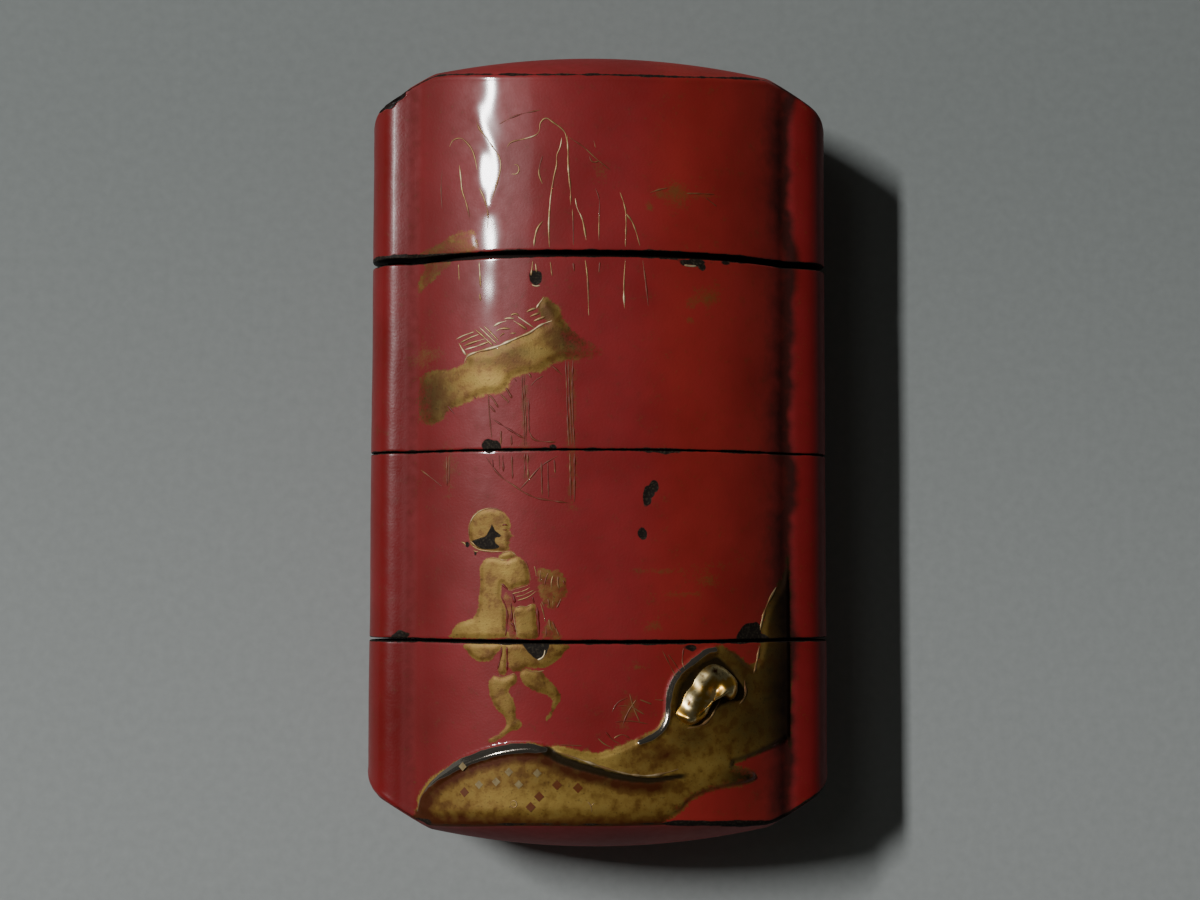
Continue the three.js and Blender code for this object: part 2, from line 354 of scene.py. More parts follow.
hair = [
    (-14.4, -10.7), (-13.5, -10.4), (-12.8, -10.1), (-12.4, -9.5), (-12.1, -8.8), (-11.8, -9.5),
    (-11.5, -9.8), (-11.1, -10.1), (-11.2, -10.3), (-11.6, -10.3), (-11.8, -10.5), (-11.7, -10.9),
    (-11.2, -11.3), (-11.7, -11.6), (-12.6, -11.6), (-13.4, -11.5), (-14, -11.1),
]
roof = [
    (-15, 9.7), (-13.9, 10), (-12.9, 10.2), (-11.9, 10.4), (-10.6, 10.9), (-9.2, 11.5), (-8.1, 11.9),
    (-7.2, 12.6), (-6.4, 13), (-6.8, 13.9), (-7.2, 14.7), (-6.8, 15.6), (-6.4, 15.8), (-5.8, 15.4),
    (-5.1, 14.8), (-4.6, 13.8), (-4.1, 12.8), (-3.1, 11.9), (-1.9, 11), (-0.6, 10.3), (-0.2, 9.7),
    (-1.2, 9.2), (-2.6, 9), (-4.1, 8.9), (-5.6, 8.6), (-6.5, 7.9), (-7.2, 7.6), (-8.4, 7.5), (-9.9, 7),
    (-10.5, 6), (-11.5, 5.3), (-12.8, 5.3), (-14.2, 4.8), (-15.2, 4.3), (-16.6, 3.8), (-17.4, 3),
    (-18.3, 2.3), (-19.7, 2.3), (-20.2, 3), (-20.4, 4.7), (-20.4, 6.4), (-19.9, 7.8), (-18.1, 8.2),
    (-16.6, 8.2), (-15.1, 8.9),
]
pocket = [
    (7.2, -29.2), (7.3, -27.4), (7.9, -25.7), (8.9, -24.4), (10.3, -23.4), (11.6, -22.7), (12.6, -22.6),
    (13.5, -23.2), (14.5, -24.1), (15.3, -25.5), (15.5, -27.1), (15.1, -28.2), (14.2, -28.4),
    (13.2, -28), (12.5, -28.2), (11.9, -29.4), (10.8, -30.5), (9.4, -30.9), (8.2, -30.5), (7.5, -29.9),
]
pebble = [
    (7.8, -29.2), (8.4, -28.1), (8.9, -27), (9.6, -26.2), (10, -25.4), (10.8, -24.5), (11.9, -24),
    (13, -24.3), (13.9, -25), (14.6, -25.8), (14.7, -26.8), (14.4, -27.6), (13.8, -27.9), (13, -27.5),
    (12.3, -27.5), (11.8, -28.4), (11.2, -29.5), (10.3, -30.3), (9.2, -30.5), (8.3, -30),
]
rock = [
    (21, -13), (20.5, -14.4), (19.6, -15.4), (18.8, -16.8), (18.2, -17.9), (17.8, -19.1), (17.5, -20.5),
    (17.5, -21.8), (17.3, -22.8), (17.1, -23.9), (16.5, -25), (15.8, -25.8), (15.8, -28.9),
    (16.4, -33.5), (18.1, -33.4), (19.9, -33), (21, -31.8), (21.2, -29.2), (21.2, -21.4),
    (21.2, -15.2), (21.1, -13.6),
]
patch = [
    (14.7, -21.4), (15.1, -20.3), (15.8, -19.8), (17, -19.4), (17.5, -19.8), (17.7, -20.7),
    (18.2, -21.2), (18.3, -21.5),
]
skirtChip = [
    (-8.7, -21.5), (-8.55, -22.2), (-8.1, -22.9), (-7.3, -23.4), (-6.5, -23.2), (-6.05, -22.6),
    (-5.95, -21.5),
]
leftRim = [
    (-20.1, -40.2), (-19.8, -38.8), (-18.6, -37.1), (-17.1, -35.9), (-15.4, -34.8), (-13.4, -33.9),
    (-11.6, -33.3), (-9.8, -32.9), (-8, -32.8), (-6.2, -33),
]
rightRim = [
    (3.9, -32.2), (5, -31.8), (6, -31.2), (6.7, -30.3), (6.9, -29.5), (6.9, -28.3), (7, -27.4),
    (7.2, -26.4), (7.7, -25.4), (8.5, -24.5), (9.4, -23.9), (10.3, -23.2), (11.3, -22.5), (12.1, -22.4),
]
ridge = [
    (-6.2, -33), (-5, -33.8), (-3.2, -34.5), (-1.1, -35.1), (1, -35.7), (3.1, -36.1), (5.2, -36.3),
    (7.1, -36), (8.9, -35.8),
]
bank = [
    (-20.4, -40.5), (-20.2, -39.8), (-19.9, -38.4), (-18.8, -36.7), (-17.1, -35.4), (-15.4, -34.4),
    (-13.2, -33.5), (-11.4, -32.9), (-9.6, -32.5), (-7.8, -32.3), (-6, -32.6), (-4.2, -32.7),
    (-2.4, -33.1), (-0.8, -33.3), (0.6, -33), (2.2, -32.4), (3.7, -31.7), (5.4, -31), (6.3, -29.9),
    (6.8, -28.4), (6.9, -27.2), (7.4, -25.7), (8.3, -24.5), (9.9, -23.3), (11.4, -22.4), (13, -22.1),
    (14.6, -22.8), (16, -24), (17, -23.8), (17.5, -21.9), (17.6, -20.1), (18.3, -17.9), (19.8, -15.5),
    (20.6, -13.9), (21.1, -13.3), (21.2, -32), (20.6, -32.6), (18.3, -33.6), (15.6, -34.5),
    (14.3, -34.9), (16.7, -35.7), (16.9, -36.6), (15.9, -37.1), (13.6, -37.4), (11.4, -37.8),
    (9.5, -38.6), (8.3, -39.8), (6.5, -40.9), (6.2, -42.1), (-20.2, -42.8),
]
lidRock = [
    (-20.4, 21.4), (-18.7, 22), (-17.7, 22.6), (-16.4, 23.2), (-15.1, 23.5), (-14.3, 23.3), (-14, 22.5),
    (-14.1, 21.1), (-17.4, 21),
]
upperRock = [
    (-20.6, 16.8), (-20.4, 18.5), (-19.8, 19.5), (-19.5, 20.5), (-17.1, 20.2), (-17.4, 19.7),
    (-18.4, 18.8), (-19.7, 17.6),
]
swells = [  # low welts under the lacquer of the lid, where a branch is drawn
    [(-14.4, 37), (-13.6, 34.9), (-12.6, 33.2), (-11.7, 31.7), (-11.3, 30.4), (-11.8, 28.4), (-12.6, 26.6)],
    [(-13.9, 31.4), (-14, 29.8), (-13.5, 27.9), (-12.8, 26.2)],
]
strokes = {
    "roof edge": [
        [(-15.3, 8.8), (-15, 9.6), (-13.9, 10), (-12.9, 10.2), (-11.9, 10.4), (-10.6, 10.9),
        (-9.2, 11.5), (-8.1, 11.9), (-7.2, 12.6), (-6.4, 13), (-5.7, 13.2)],
        [(-7.4, 14.6), (-7.1, 15.1), (-6.6, 15.8)],
    ],
    "roof ridge": [
        [(-16.2, 11.5), (-15.3, 11.9), (-14.2, 12.2)], [(-15.7, 11.1), (-14.6, 11.6), (-13.7, 11.9)],
        [(-15.4, 10.7), (-14.2, 11.1), (-12.9, 11.4)], [(-15.2, 10.3), (-13.9, 10.6), (-12.4, 11.1)],
        [(-15.9, 11.1), (-15.6, 10.5), (-15.1, 9.7)], [(-14.1, 12.5), (-13.1, 11.6), (-12.1, 10.6)],
        [(-13.6, 12.7), (-12.6, 11.7), (-11.7, 10.8)], [(-13.1, 12.8), (-12.2, 11.9), (-11.4, 11)],
        [(-12.1, 12.7), (-11.4, 13.1), (-10.6, 13.3)], [(-11.8, 12.2), (-11.2, 12.5), (-10.2, 12.4)],
        [(-11.4, 11.5), (-11.1, 11.9), (-10.8, 11.9)], [(-10.2, 11.9), (-9.6, 11.9)],
        [(-10.9, 13.5), (-10.4, 13.6), (-9.8, 13.5)], [(-10.2, 13.9), (-9.6, 14.1), (-9.3, 13.8)],
        [(-9.9, 13.3), (-9.1, 12.8), (-8.4, 12.3)], [(-9.4, 13.7), (-8.4, 13), (-7.7, 12.5)],
        [(-8.5, 14.2), (-7.9, 14.5), (-7.4, 14.6)], [(-8.1, 13.7), (-7.6, 13.9), (-7, 14.1)],
        [(-7.7, 13.2), (-7.2, 13.4), (-6.4, 13.7)],
    ],
    "figure edge": [
        onHead("skull"), onHead("jaw"),
        [(-15.5, -10.8), (-15.1, -10.9), (-15, -11.2)], [(-14.5, -10.7), (-14, -11.1), (-13.6, -11.7)],
        [(-14.2, -11.7), (-13.8, -11.9), (-13.6, -11.8)],
    ],
    "folds": [
        [(-10.1, -16.1), (-9.3, -15.8), (-8.5, -15.6), (-8, -15.3)],
        [(-9.9, -16.4), (-9.1, -16.2), (-8.4, -16), (-8, -15.7)],
        [(-9.5, -16.7), (-8.8, -16.6), (-8.2, -16.3), (-7.5, -16)],
        [(-9.3, -17.1), (-8.5, -16.9), (-7.9, -16.6), (-7.3, -16.1)],
        [(-9.5, -17.9), (-8.9, -17.7), (-8.3, -17.8), (-7.8, -17.5)],
        [(-9.6, -18.2), (-9.7, -18.7), (-9.6, -19.5), (-9.4, -20.4), (-9.3, -20.9)],
        [(-8.5, -12.8), (-8.2, -13.4), (-8, -14.1), (-7.9, -15)],
        [(-12.7, -12.6), (-12.1, -12.5), (-11.4, -12.6), (-11, -12.8), (-10.2, -12.7), (-10, -12.6)],
        [(-11.3, -12.3), (-11, -12), (-10.4, -11.8), (-9.9, -11.9), (-9.5, -12.2)],
        [(-7.5, -13.4), (-7.3, -14.1), (-7.3, -14.5)], [(-6.8, -13.8), (-6.9, -14.5), (-6.8, -15.1)],
        [(-11.1, -15.3), (-10.6, -15.7), (-10.1, -16.1)], [(-8.6, -24.5), (-7.6, -24.8), (-6.4, -24.6)],
        [(-11.3, -25.1), (-10.9, -25.4), (-10.1, -25.1), (-9.5, -24.9)],
    ],
    "bundle": [
        [(-6, -14.1), (-6.3, -14.9), (-6.4, -15.5)], [(-5.5, -14.4), (-5.7, -15.3), (-5.6, -15.9)],
        [(-4.9, -14.5), (-5, -15.3), (-4.8, -15.8)], [(-4.4, -14.9), (-4.2, -15.4)],
        [(-6, -16.9), (-5.9, -17.6), (-5.8, -17.9)], [(-5.5, -17.1), (-5.5, -17.8)],
        [(-4.6, -16.9), (-4.9, -17.6), (-5.1, -17.9)], [(-6.7, -17.2), (-6.4, -17.8)],
        [(-5.9, -19.1), (-5.8, -19.9), (-5.5, -20.4)], [(-5.5, -19.4), (-5.2, -20.3)],
        [(-6.2, -19.9), (-6.2, -20.9)], [(-5.2, -20), (-4.8, -20.9)],
        [(-6.8, -17.4), (-6.5, -18.4), (-6.3, -19.4)],
    ],
    "hut": [
        [(-8.7, 7.4), (-8.65, 5), (-8.5, 2.4), (-8.4, -0.6)],
        [(-3.9, 8.8), (-3.8, 5), (-3.6, 2), (-3.5, -0.6)],
        [(-8.9, 7.3), (-8.9, 5.3), (-8.7, 2.6), (-8.6, -0.7)], [(-8.2, 4.6), (-8.2, 2.6), (-8.1, 1)],
        [(-4.2, 8.9), (-4.1, 6.3), (-4, 3.3), (-3.8, -0.7)],
        [(-3.4, 8.9), (-3.5, 5.9), (-3.4, 2.6), (-3.2, -0.5)], [(-12.6, 5.2), (-12.5, 3.2), (-12.2, 0.5)],
        [(-12.3, 2.7), (-10.8, 1.7), (-8.7, 0.4)], [(-8, 6.1), (-7.4, 6.8), (-6.6, 7.2)],
        [(-5.9, 8.5), (-5.1, 7.8), (-4.5, 7.2)], [(-8.1, 1.2), (-7.7, 0.1), (-5.2, 0)],
        [(-12.7, 5.3), (-12.2, 5), (-11.5, 3.8)], [(-12.5, 4.1), (-11.8, 3.3)], [(-10.7, 6), (-10, 4.8)],
        [(-11.3, 5.3), (-10.3, 4.3)], [(-10.5, 4.3), (-10.3, 4.6)], [(-11.2, 1.3), (-11.2, -0.5)],
        [(-10.1, 0.8), (-10, -0.5)], [(-17.1, 4.2), (-16.7, 3.7), (-16.3, 3.2)],
        [(-14.2, 5.1), (-13.9, 4.8)], [(-9.8, 7), (-9.5, 6.6)], [(-8.2, 7.5), (-7.9, 7)],
        [(-12.8, -1.6), (-12.1, -2.6), (-11.5, -3.4), (-10.6, -4.2), (-10, -4.5), (-9.1, -5.2),
        (-7.8, -5.9), (-6.8, -6.2), (-3.7, -6.6)],
        [(-11.4, -1.3), (-11.3, -3)], [(-11, -1.3), (-10.9, -3.2)], [(-10, -1.4), (-9.9, -4)],
        [(-8.6, -1.2), (-8.6, -3.9)], [(-8.3, -1.2), (-8.2, -4)], [(-6.8, -2.2), (-6.7, -5.8)],
        [(-6.1, -2), (-6, -6)], [(-3.7, -1.2), (-3.6, -6.3)], [(-3.2, -1.2), (-3.2, -6.5)],
        [(-5, -1.5), (-6.8, -2.5), (-8, -3.9), (-9.1, -5.1)], [(-5.4, -1.9), (-5.3, -3.4)],
        [(-17.2, -1.4), (-17.1, -4.7)], [(-16.9, -1.4), (-16.9, -4.4)],
        [(-20.1, -2.8), (-18.9, -3.7), (-17.7, -4.7)], [(-12.1, -1.8), (-12, -2.8)],
    ],
    "willow": [
        [(-17.1, 33.1), (-16.8, 33.8), (-15.9, 34), (-15.3, 33.5), (-14.6, 32.6), (-14.2, 31.4),
        (-14, 30.2)],
        [(-16, 30.9), (-15.8, 29.3), (-15.7, 28), (-15.2, 26.7), (-14.8, 24.9)],
        [(-14.2, 36), (-13.8, 34.7), (-13, 33.8), (-12.3, 32.6), (-11.6, 31.7), (-11.3, 30.5),
        (-11.7, 28.8), (-12.3, 26.8)],
        [(-13.7, 28.1), (-13.1, 26.8), (-12.7, 25.2), (-12.8, 23.5)],
        [(-10.7, 32.5), (-10.3, 33.1), (-8.8, 33.3), (-7.4, 33.7), (-7.1, 34.3), (-7.1, 35.1),
        (-6.4, 35.7), (-5.7, 35.1), (-4.8, 34.5), (-4.2, 33.8), (-4.1, 32.4)],
        [(-4.7, 33.4), (-4.8, 32.4), (-5.3, 31.4), (-5.2, 30.4), (-5.5, 29.3), (-5.7, 28.1),
        (-5.9, 26.8), (-6, 25.5), (-6.1, 23.5), (-6, 21.3)],
        [(-4.1, 33.6), (-4, 32.1), (-4, 30.6), (-3.9, 29.1), (-3.7, 27.6), (-3.7, 25.9)],
        [(-3.2, 26.7), (-3, 25.5), (-2.5, 24.7), (-2.2, 23.5), (-2, 22.1)],
        [(-6.7, 24.2), (-7.3, 23.5), (-7.6, 22.5), (-7.7, 21.4)],
        [(-10.2, 29.5), (-9.6, 29.4), (-9.3, 29.9), (-9.5, 30.5), (-9.9, 30.5)],
        [(1.7, 27.4), (2.1, 26.3), (2.4, 25.1), (2.3, 21.4)],
        [(2.4, 25), (3, 24.3), (3.5, 23), (3.9, 21.5)], [(-14.1, 22.5), (-13.8, 21.6)],
        [(-16, 20), (-15.9, 18)], [(-13.7, 20.1), (-13.5, 17)], [(-7.8, 19.8), (-8, 18.2)],
        [(-7.5, 19.5), (-7.4, 18.6)], [(-5.9, 19.7), (-5.7, 18.1)],
        [(-2.1, 19.9), (-1.8, 18), (-1.7, 13.8)], [(2.3, 20.3), (2.1, 17), (2.2, 14.6)],
        [(-13.6, 16.4), (-13.5, 15.6)],
    ],
    "faint": [
        [(-17.9, 30.6), (-18.1, 28.6), (-17.9, 26.2)], [(-1.7, 31.4), (-1.4, 30.6), (-0.6, 30.8)],
        [(-1.2, 33.1), (-1, 32.3)], [(-1, 27.8), (-0.5, 26.6), (-0.6, 24.5), (-0.6, 22)],
        [(-11.6, 35.1), (-9.8, 36), (-7, 36.5)], [(-3.9, 33.4), (-2.3, 32.4), (-1, 31.1), (0.7, 29.8)],
        [(5, 27.4), (6, 27.8), (7, 28)], [(9.1, 27.5), (10.7, 27.6), (12.3, 27.6)],
        [(11.2, 27.2), (12.5, 26.3)], [(-6.8, 31.4), (-7.3, 29.6), (-6.8, 28.3)],
        [(-3.5, 25.5), (-3.4, 23.5), (-3.4, 21.5)], [(4.2, 19.9), (4.6, 17), (4.8, 14.9)],
        [(-3.4, 19.6), (-3.3, 18.6)], [(-0.5, 19.7), (-0.6, 18.5)],
        [(0.9, -29), (1.5, -27.9), (2.6, -27.5)], [(1.5, -28.4), (2.8, -28.3), (4.4, -29.3)],
        [(2, -30.5), (2.6, -29), (3.5, -27.7)], [(1.2, -30.1), (2.8, -29.9), (4.8, -30.3)],
        [(2.8, -27.1), (3.2, -28.6), (3.9, -30.1)], [(6.3, -22.4), (7, -23.7), (7.8, -25.2)],
        [(7, -22.9), (7.6, -23.7), (8.3, -24.8)], [(8.7, -22.2), (8.5, -23.5), (8.7, -24.4)],
        [(5.5, -27.7), (6.5, -27.8)], [(-4.7, -32.5), (-2.3, -32.6)],
        [(-0.6, -31.8), (0, -32.4), (0.9, -32.8)], [(0.2, -31.1), (0.9, -32), (1.8, -32.4)],
        [(1.1, -31.8), (2, -31.3), (2.8, -31.8)], [(3.9, -27.7), (5.2, -28.2)],
    ],
    "rock edge": [
        [(19.5, -15.7), (18.8, -16.8), (18.2, -17.9), (17.8, -19.1), (17.5, -20.4)],
        [(17.5, -21.8), (17.3, -22.8), (17.1, -23.9), (16.5, -25)],
        [(9, -30.8), (10, -30.7), (11, -30.3), (11.8, -29.5), (12.2, -28.6), (12.8, -27.6)],
        [(15.4, -25.8), (15.6, -27.1), (15.4, -27.8), (14.8, -28.4)],
    ],
    "tongue": [
        [(-5, -33.2), (-3.2, -33.8), (-1.1, -34.5), (1, -35.2), (3.1, -35.7), (5.2, -35.8), (7.1, -35.4),
        (8, -35.1)],
    ],
    "ring": [
        [(-9.9, -38.8), (-9.8, -38.5), (-9.5, -38.4), (-9.2, -38.6), (-9.2, -39), (-9.5, -39.2),
        (-9.8, -39.1), (-9.9, -38.8)],
        [(-1.7, -38.5), (-1.3, -38.9), (-1.3, -39.6)], [(-1, -38.6), (-1.3, -38.9)],
    ],
    "painted glint": [  # painted glints: pale strokes where broken edges of lacquer catch the light
        [(-7.1, -23.45), (-6.7, -23.35), (-6.4, -23), (-6.3, -22.4)],
        [(5.3, 20.25), (5.9, 20.2), (6.5, 20.15)],
        [(8.8, 19.55), (9.5, 19.45), (10.2, 19.5)], [(-7.9, 17.2), (-7.5, 17), (-7, 17.1)],
    ],
    "back grass": [
        [(9, -38), (8.4, -30), (6.2, -22), (2.6, -15.5)],
        [(9.6, -38), (9.8, -28), (11.2, -19), (14.2, -11)],
        [(9.3, -38), (7.4, -33), (4.2, -29), (0.4, -27.4)],
        [(10, -38), (11.2, -32), (13.6, -27), (16.8, -24.4)],
        [(8.7, -38), (6, -35.4), (2.6, -34), (-1.4, -34.2)],
        [(9.5, -38), (9, -26), (8.6, -16), (9.6, -6.5)],
        [(2.8, -15.8), (2, -14.6), (1.8, -13.2)], [(13.9, -11.4), (14.8, -9.8), (15, -8.2)],
        [(9.4, -7), (9.9, -5.2), (9.8, -3.6)],
    ],
    "face": [onHead("eye"), onHead("brow"), onHead("mouth")],
    "red folds": [
        [(-11.1, -16.7), (-10.7, -17.4), (-10.4, -18.3), (-10.4, -19.4), (-10.5, -20.4), (-10.6, -21.1)],
        [(-10, -19.5), (-9.7, -19.8), (-9.5, -20.5)], [(-11, -15.3), (-10.6, -15.7), (-10.3, -16)],
        [(-7.2, -17.7), (-7.1, -18.9), (-7, -20), (-7, -21)],
        [(-9.9, -16.3), (-9.7, -16.7), (-9.6, -17.4)], [(-10, -19.4), (-9.9, -18.4), (-10, -17.4)],
        [(-7.7, -16.7), (-7.5, -17.4)], [(-11, -21.9), (-11, -22.9), (-11.4, -24.5)],
        [(-10.4, -21.9), (-10.4, -23.2), (-10.4, -24.7)],
    ],
}
chips = [  # x, y, half width, half height, in mm
    (-12.4, -0.35, 1.05, 0.8), (-5.5, -0.5, 0.55, 0.4), (-1.4, -0.8, 1.3, 0.16),
    (6.2, -0.95, 2.3, 0.22), (5.4, -4.8, 0.55, 0.75), (5, -5.4, 0.6, 0.8), (4.7, -6, 0.55, 0.8),
    (4.2, -9.9, 0.52, 0.7), (-7.4, 17.8, 0.74, 0.8), (9.9, 19.9, 1.6, 0.4), (10.9, 19.4, 0.5, 0.5),
    (6.8, 20.2, 1.7, 0.14), (13.5, 20.1, 0.6, 0.25), (-22.4, 21.2, 1.5, 0.3), (-22.1, -21.2, 0.9, 0.6),
    (9.6, -22.2, 0.7, 0.4), (-19.6, -41.3, 0.9, 0.4), (-14.85, -11.1, 0.3, 0.35),
    (-13.95, -12.05, 0.18, 0.35),
]
toneSpots = [  # x, y, reach across, reach along, how much brighter the gold is
    (-12.6, 6.8, 3.2, 1.3, 0.3), (-7.4, 10, 1.6, 0.9, 0.4), (-19.2, 5.2, 2.6, 3.5, -0.2),
    (-10.4, 8.6, 2.4, 0.8, -0.3), (-3, 11, 3, 2, -0.35), (-6.4, 14, 1, 1.6, -0.25),
    (-18, 20.6, 4.5, 4, -0.25), (-10.6, -13.8, 1.3, 1.2, 0.3), (-13, -20, 2.4, 1.3, 0.35),
    (-8.2, -20, 1, 1, 0.1), (-6, -38.3, 9, 1.5, 0.35), (10.8, -35, 3.2, 1.5, 0.3),
    (6.4, -33.6, 2.4, 0.9, -0.3), (-15.5, -39.5, 3, 1.3, -0.1),
]
shadeSpots = [  # x, y, reach across, reach along, how far the gold is browned
    (-19.6, 5, 3.4, 4, 0.55), (-9.6, 9.9, 3.4, 0.8, 0.42), (-13.6, 8.9, 2.2, 0.6, 0.3),
    (-3.6, 11.4, 3, 2.2, 0.36), (-6.2, 14.4, 1.4, 1.6, 0.4), (-19, 20.4, 3, 3, 0.3),
    (20.4, -27, 4, 9, 0.85), (20.5, -18, 2.8, 6, 0.95), (16.8, -30, 4.4, 3.6, 0.6),
    (12.8, -26.5, 4.8, 4, 0.8), (15.4, -36.2, 2.4, 1.2, 0.9), (9.6, -31.6, 2.2, 1.6, 0.45),
]
dustSpots = [  # x, y, reach across, reach along, how thick the faded gold powder lies
    (7.9, 27.5, 1.5, 1.3, 0.85), (4.9, 25.8, 0.45, 0.4, 0.9), (6, 27.3, 0.5, 0.6, 0.6),
    (11, 27.4, 1.6, 0.25, 0.5), (11.6, 16.2, 1.3, 1.3, 0.6), (9.8, 15.6, 1, 0.9, 0.5),
    (9.4, 13.5, 0.4, 0.4, 0.6), (-0.4, 29.8, 1, 1.6, 0.4), (6.2, -13.9, 4.2, 0.3, 0.5),
    (11.6, -14.8, 1.7, 0.9, 0.55), (8.6, -16.4, 3, 0.35, 0.55), (12.6, -13.2, 3, 0.5, 0.35),
    (5.4, -19.8, 1.1, 0.9, 0.5), (3.6, -24.2, 1.1, 0.4, 0.6), (2.9, -28.3, 0.9, 1.1, 0.85),
    (2.1, -30.1, 0.6, 1.1, 0.6), (-9.4, -0.4, 1.4, 0.5, 0.5), (-3.6, 4.6, 0.5, 6, 0.85),
    (-8.6, 3.6, 0.4, 5, 0.75), (-3.4, -4, 0.5, 3.4, 0.6), (-16.8, -2.6, 0.8, 3, 0.5),
    (-19.6, 9.8, 1.6, 1.3, 0.8),
]


def spots(x, y, table):  # soft round patches, one array for each row of the table
    fields = []
    for cx, cy, rx, ry, amount in table:
        fields.append(amount * np.exp(-(((x - cx) / rx) ** 2) - ((y - cy) / ry) ** 2))
    return fields


relief = {  # how far each part of the picture stands up or lies lower, mm
    "figure": 0.065,
    "bundle": 0.02,
    "roof": 0.09,
    "rocks": 0.03,
    "swell": 0.03,
    "bank": 0.32,
    "leftRim": 0.26,
    "rightRim": 0.2,
    "step": 0.16,
    "underStep": 0.14,
    "pocket": 0.3,
    "chip": 0.06,
}
halfWidths = {"leftRim": 0.62, "rightRim": 0.42, "step": 0.46, "swell": 0.9}  # mm
silverHalfWidths = {"leftRim": 0.52, "rightRim": 0.28}  # mm


def chipDepth(x, y):  # how far inside the nearest chip, in mm
    depth = np.maximum(depthIn(x, y, rounded(patch)), depthIn(x, y, rounded(skirtChip)))
    depth = depth + 0.08 * ripple(x, y, 6, 1.4)
    for cx, cy, rx, ry in chips:
        off = np.hypot((x - cx) / rx, (y - cy) / ry) * (1 + 0.12 * ripple(x, y, 5, 0.9))
        depth = np.maximum(depth, (1 - off) * min(rx, ry))
    return depth


def paint(x, y):  # height of the raised lacquer and what colours it, at points of the front
    parts = {name: depthIn(x, y, rounded(part)) for name, part in figureParts.items()}
    dull = np.maximum.reduce([parts.pop(name) for name in ("strip", "hem", "bundle")])
    figure = np.maximum.reduce(list(parts.values()))
    thatch, mound, stone = (depthIn(x, y, rounded(part)) for part in (roof, bank, rock))
    rocks = np.maximum(depthIn(x, y, rounded(lidRock)), depthIn(x, y, rounded(upperRock)))
    pool = depthIn(x, y, rounded(pocket))
    lines = {"leftRim": leftRim, "rightRim": rightRim, "step": ridge}
    away = {name: nearness(x, y, smoothLine(line, 0.6)) for name, line in lines.items()}
    chip = chipDepth(x, y)

    taper = ease(-20.2, -15, x) * ease(-5, -8, x)
    lip = {
        "leftRim": np.sqrt(np.maximum(0, 1 - (away["leftRim"] / halfWidths["leftRim"]) ** 2)),
        "rightRim": np.sqrt(np.maximum(0, 1 - (away["rightRim"] / halfWidths["rightRim"]) ** 2)),
        "step": np.maximum(0, 1 - (away["step"] / (halfWidths["step"] - 0.02 * x)) ** 2),
    }
    above = ease(-0.4, 0.4, y - np.interp(x, *np.array(leftRim + ridge[1:]).T)) * ease(9.5, 7.5, x)
    height = relief["figure"] * ease(0, 0.5, figure) + relief["bundle"] * ease(0, 0.3, dull) * (figure < 0)
    height += relief["roof"] * ease(0, 1, thatch) + relief["rocks"] * ease(0, 0.8, rocks)
    for line in swells:
        off = nearness(x, y, smoothLine(line, 0.6)) / halfWidths["swell"]
        height += relief["swell"] * np.exp(-(off**2))
    body = relief["bank"] * ease(0, 0.7, mound)
    body += relief["underStep"] * ease(1.6, 0.1, away["step"]) * (1 - above) * ease(9, 5, x)
    body -= relief["step"] * lip["step"] * ease(9, 6, x)
    body += relief["leftRim"] * lip["leftRim"] * (0.3 + 0.7 * taper) + relief["rightRim"] * lip["rightRim"]
    body -= relief["pocket"] * ease(0, 0.9, pool)
    height = np.maximum(height, body)
    height -= relief["chip"] * ease(0, 0.5, chip)

    tone = 0.5 + sum(spots(x, y, toneSpots))
    border = (1 - above) * ease(9.5, 5, x) * ease(2.0, 0.8, np.minimum(away["leftRim"], away["step"]))
    low = ease(-39.6, -41.4, y)
    tone = np.where(mound > 0, tone - 0.6 * border - 0.6 * low, tone)
    tone += (mound > 0) * above * (0.45 * ease(3, 0, x) + 0.12 * ease(0.8, 0.3, away["step"]))
    tone = np.where((figure < 0) & (dull > -0.3) & (mound < 0) & (thatch < 0), 0.42, tone)
    shade = np.maximum.reduce(spots(x, y, shadeSpots))
    shade = np.maximum(shade, ease(0.2, 0.9, pool)) * np.maximum(ease(-0.2, 0.2, mound), y > 0)
    shade = np.maximum(shade, 1.2 * lip["step"] ** 0.5 * ease(9.5, 8, x))
    onRoof = (thatch > -1) & (y > 0)
    fade = np.where(onRoof, 0.65 * ease(-7.5, -0.5, x) + 0.45 * ease(-17, -20.5, x), 0)
    fade = np.where((dull > -0.3) & (figure < 0.05), 0.4, fade)
    fade = np.where(rocks > -0.5, 0.4, fade)
    fade = np.where(mound > -0.3, 0.45 * ease(1.6, 0.1, mound) * ease(-34, -36, y) * ease(4, 9, x), fade)
    return {
        "height": height,
        "gold": np.maximum.reduce([2.2 * figure, thatch, mound, stone, rocks, dull]),
        "tone": tone,
        "fade": fade,
        "shade": shade,
        "silver": np.maximum(
            silverHalfWidths["leftRim"] * (0.15 + 0.85 * taper) - away["leftRim"],
            silverHalfWidths["rightRim"] - away["rightRim"],
        ),
        "dark": np.maximum(chip, depthIn(x, y, rounded(hair))),
        "dust": sum(spots(x, y, dustSpots)),
        # painted light and shade across the case: deeper red on the left, which faces the lamps, and on the
        # right runner, brighter red on the right of the face
        "sideShadeAndLight": 0.7 * ease(-13.5, -20, x) - 0.3 * ease(2, 9, x) + ease(20.5, 22.5, x),
    }


def sheet(points, heights):  # one ring of the surface: [x, z] and how far along Y
    return np.stack([points[:, 0], np.broadcast_to(heights, len(points)), points[:, 1]], 1)


def insetRing(inset):
    return ring - outward * inset


boxes = {  # lower and upper edge along Y, with None for a domed end
    "lower_case": (None, -21.71),
    "middle_case": (-21.39, -0.87),
    "upper_case": (-0.73, 20.3),
    "lid": (20.98, None),
}


def domeY(points, foot, inward=0):
    x, z = points[:, 0], points[:, 1]
    if foot:
        return case["footEnd"] + inward + endDrop(x, z, case["footRise"])
    return case["crownEnd"] - inward - endDrop(x, z, case["crownRise"])


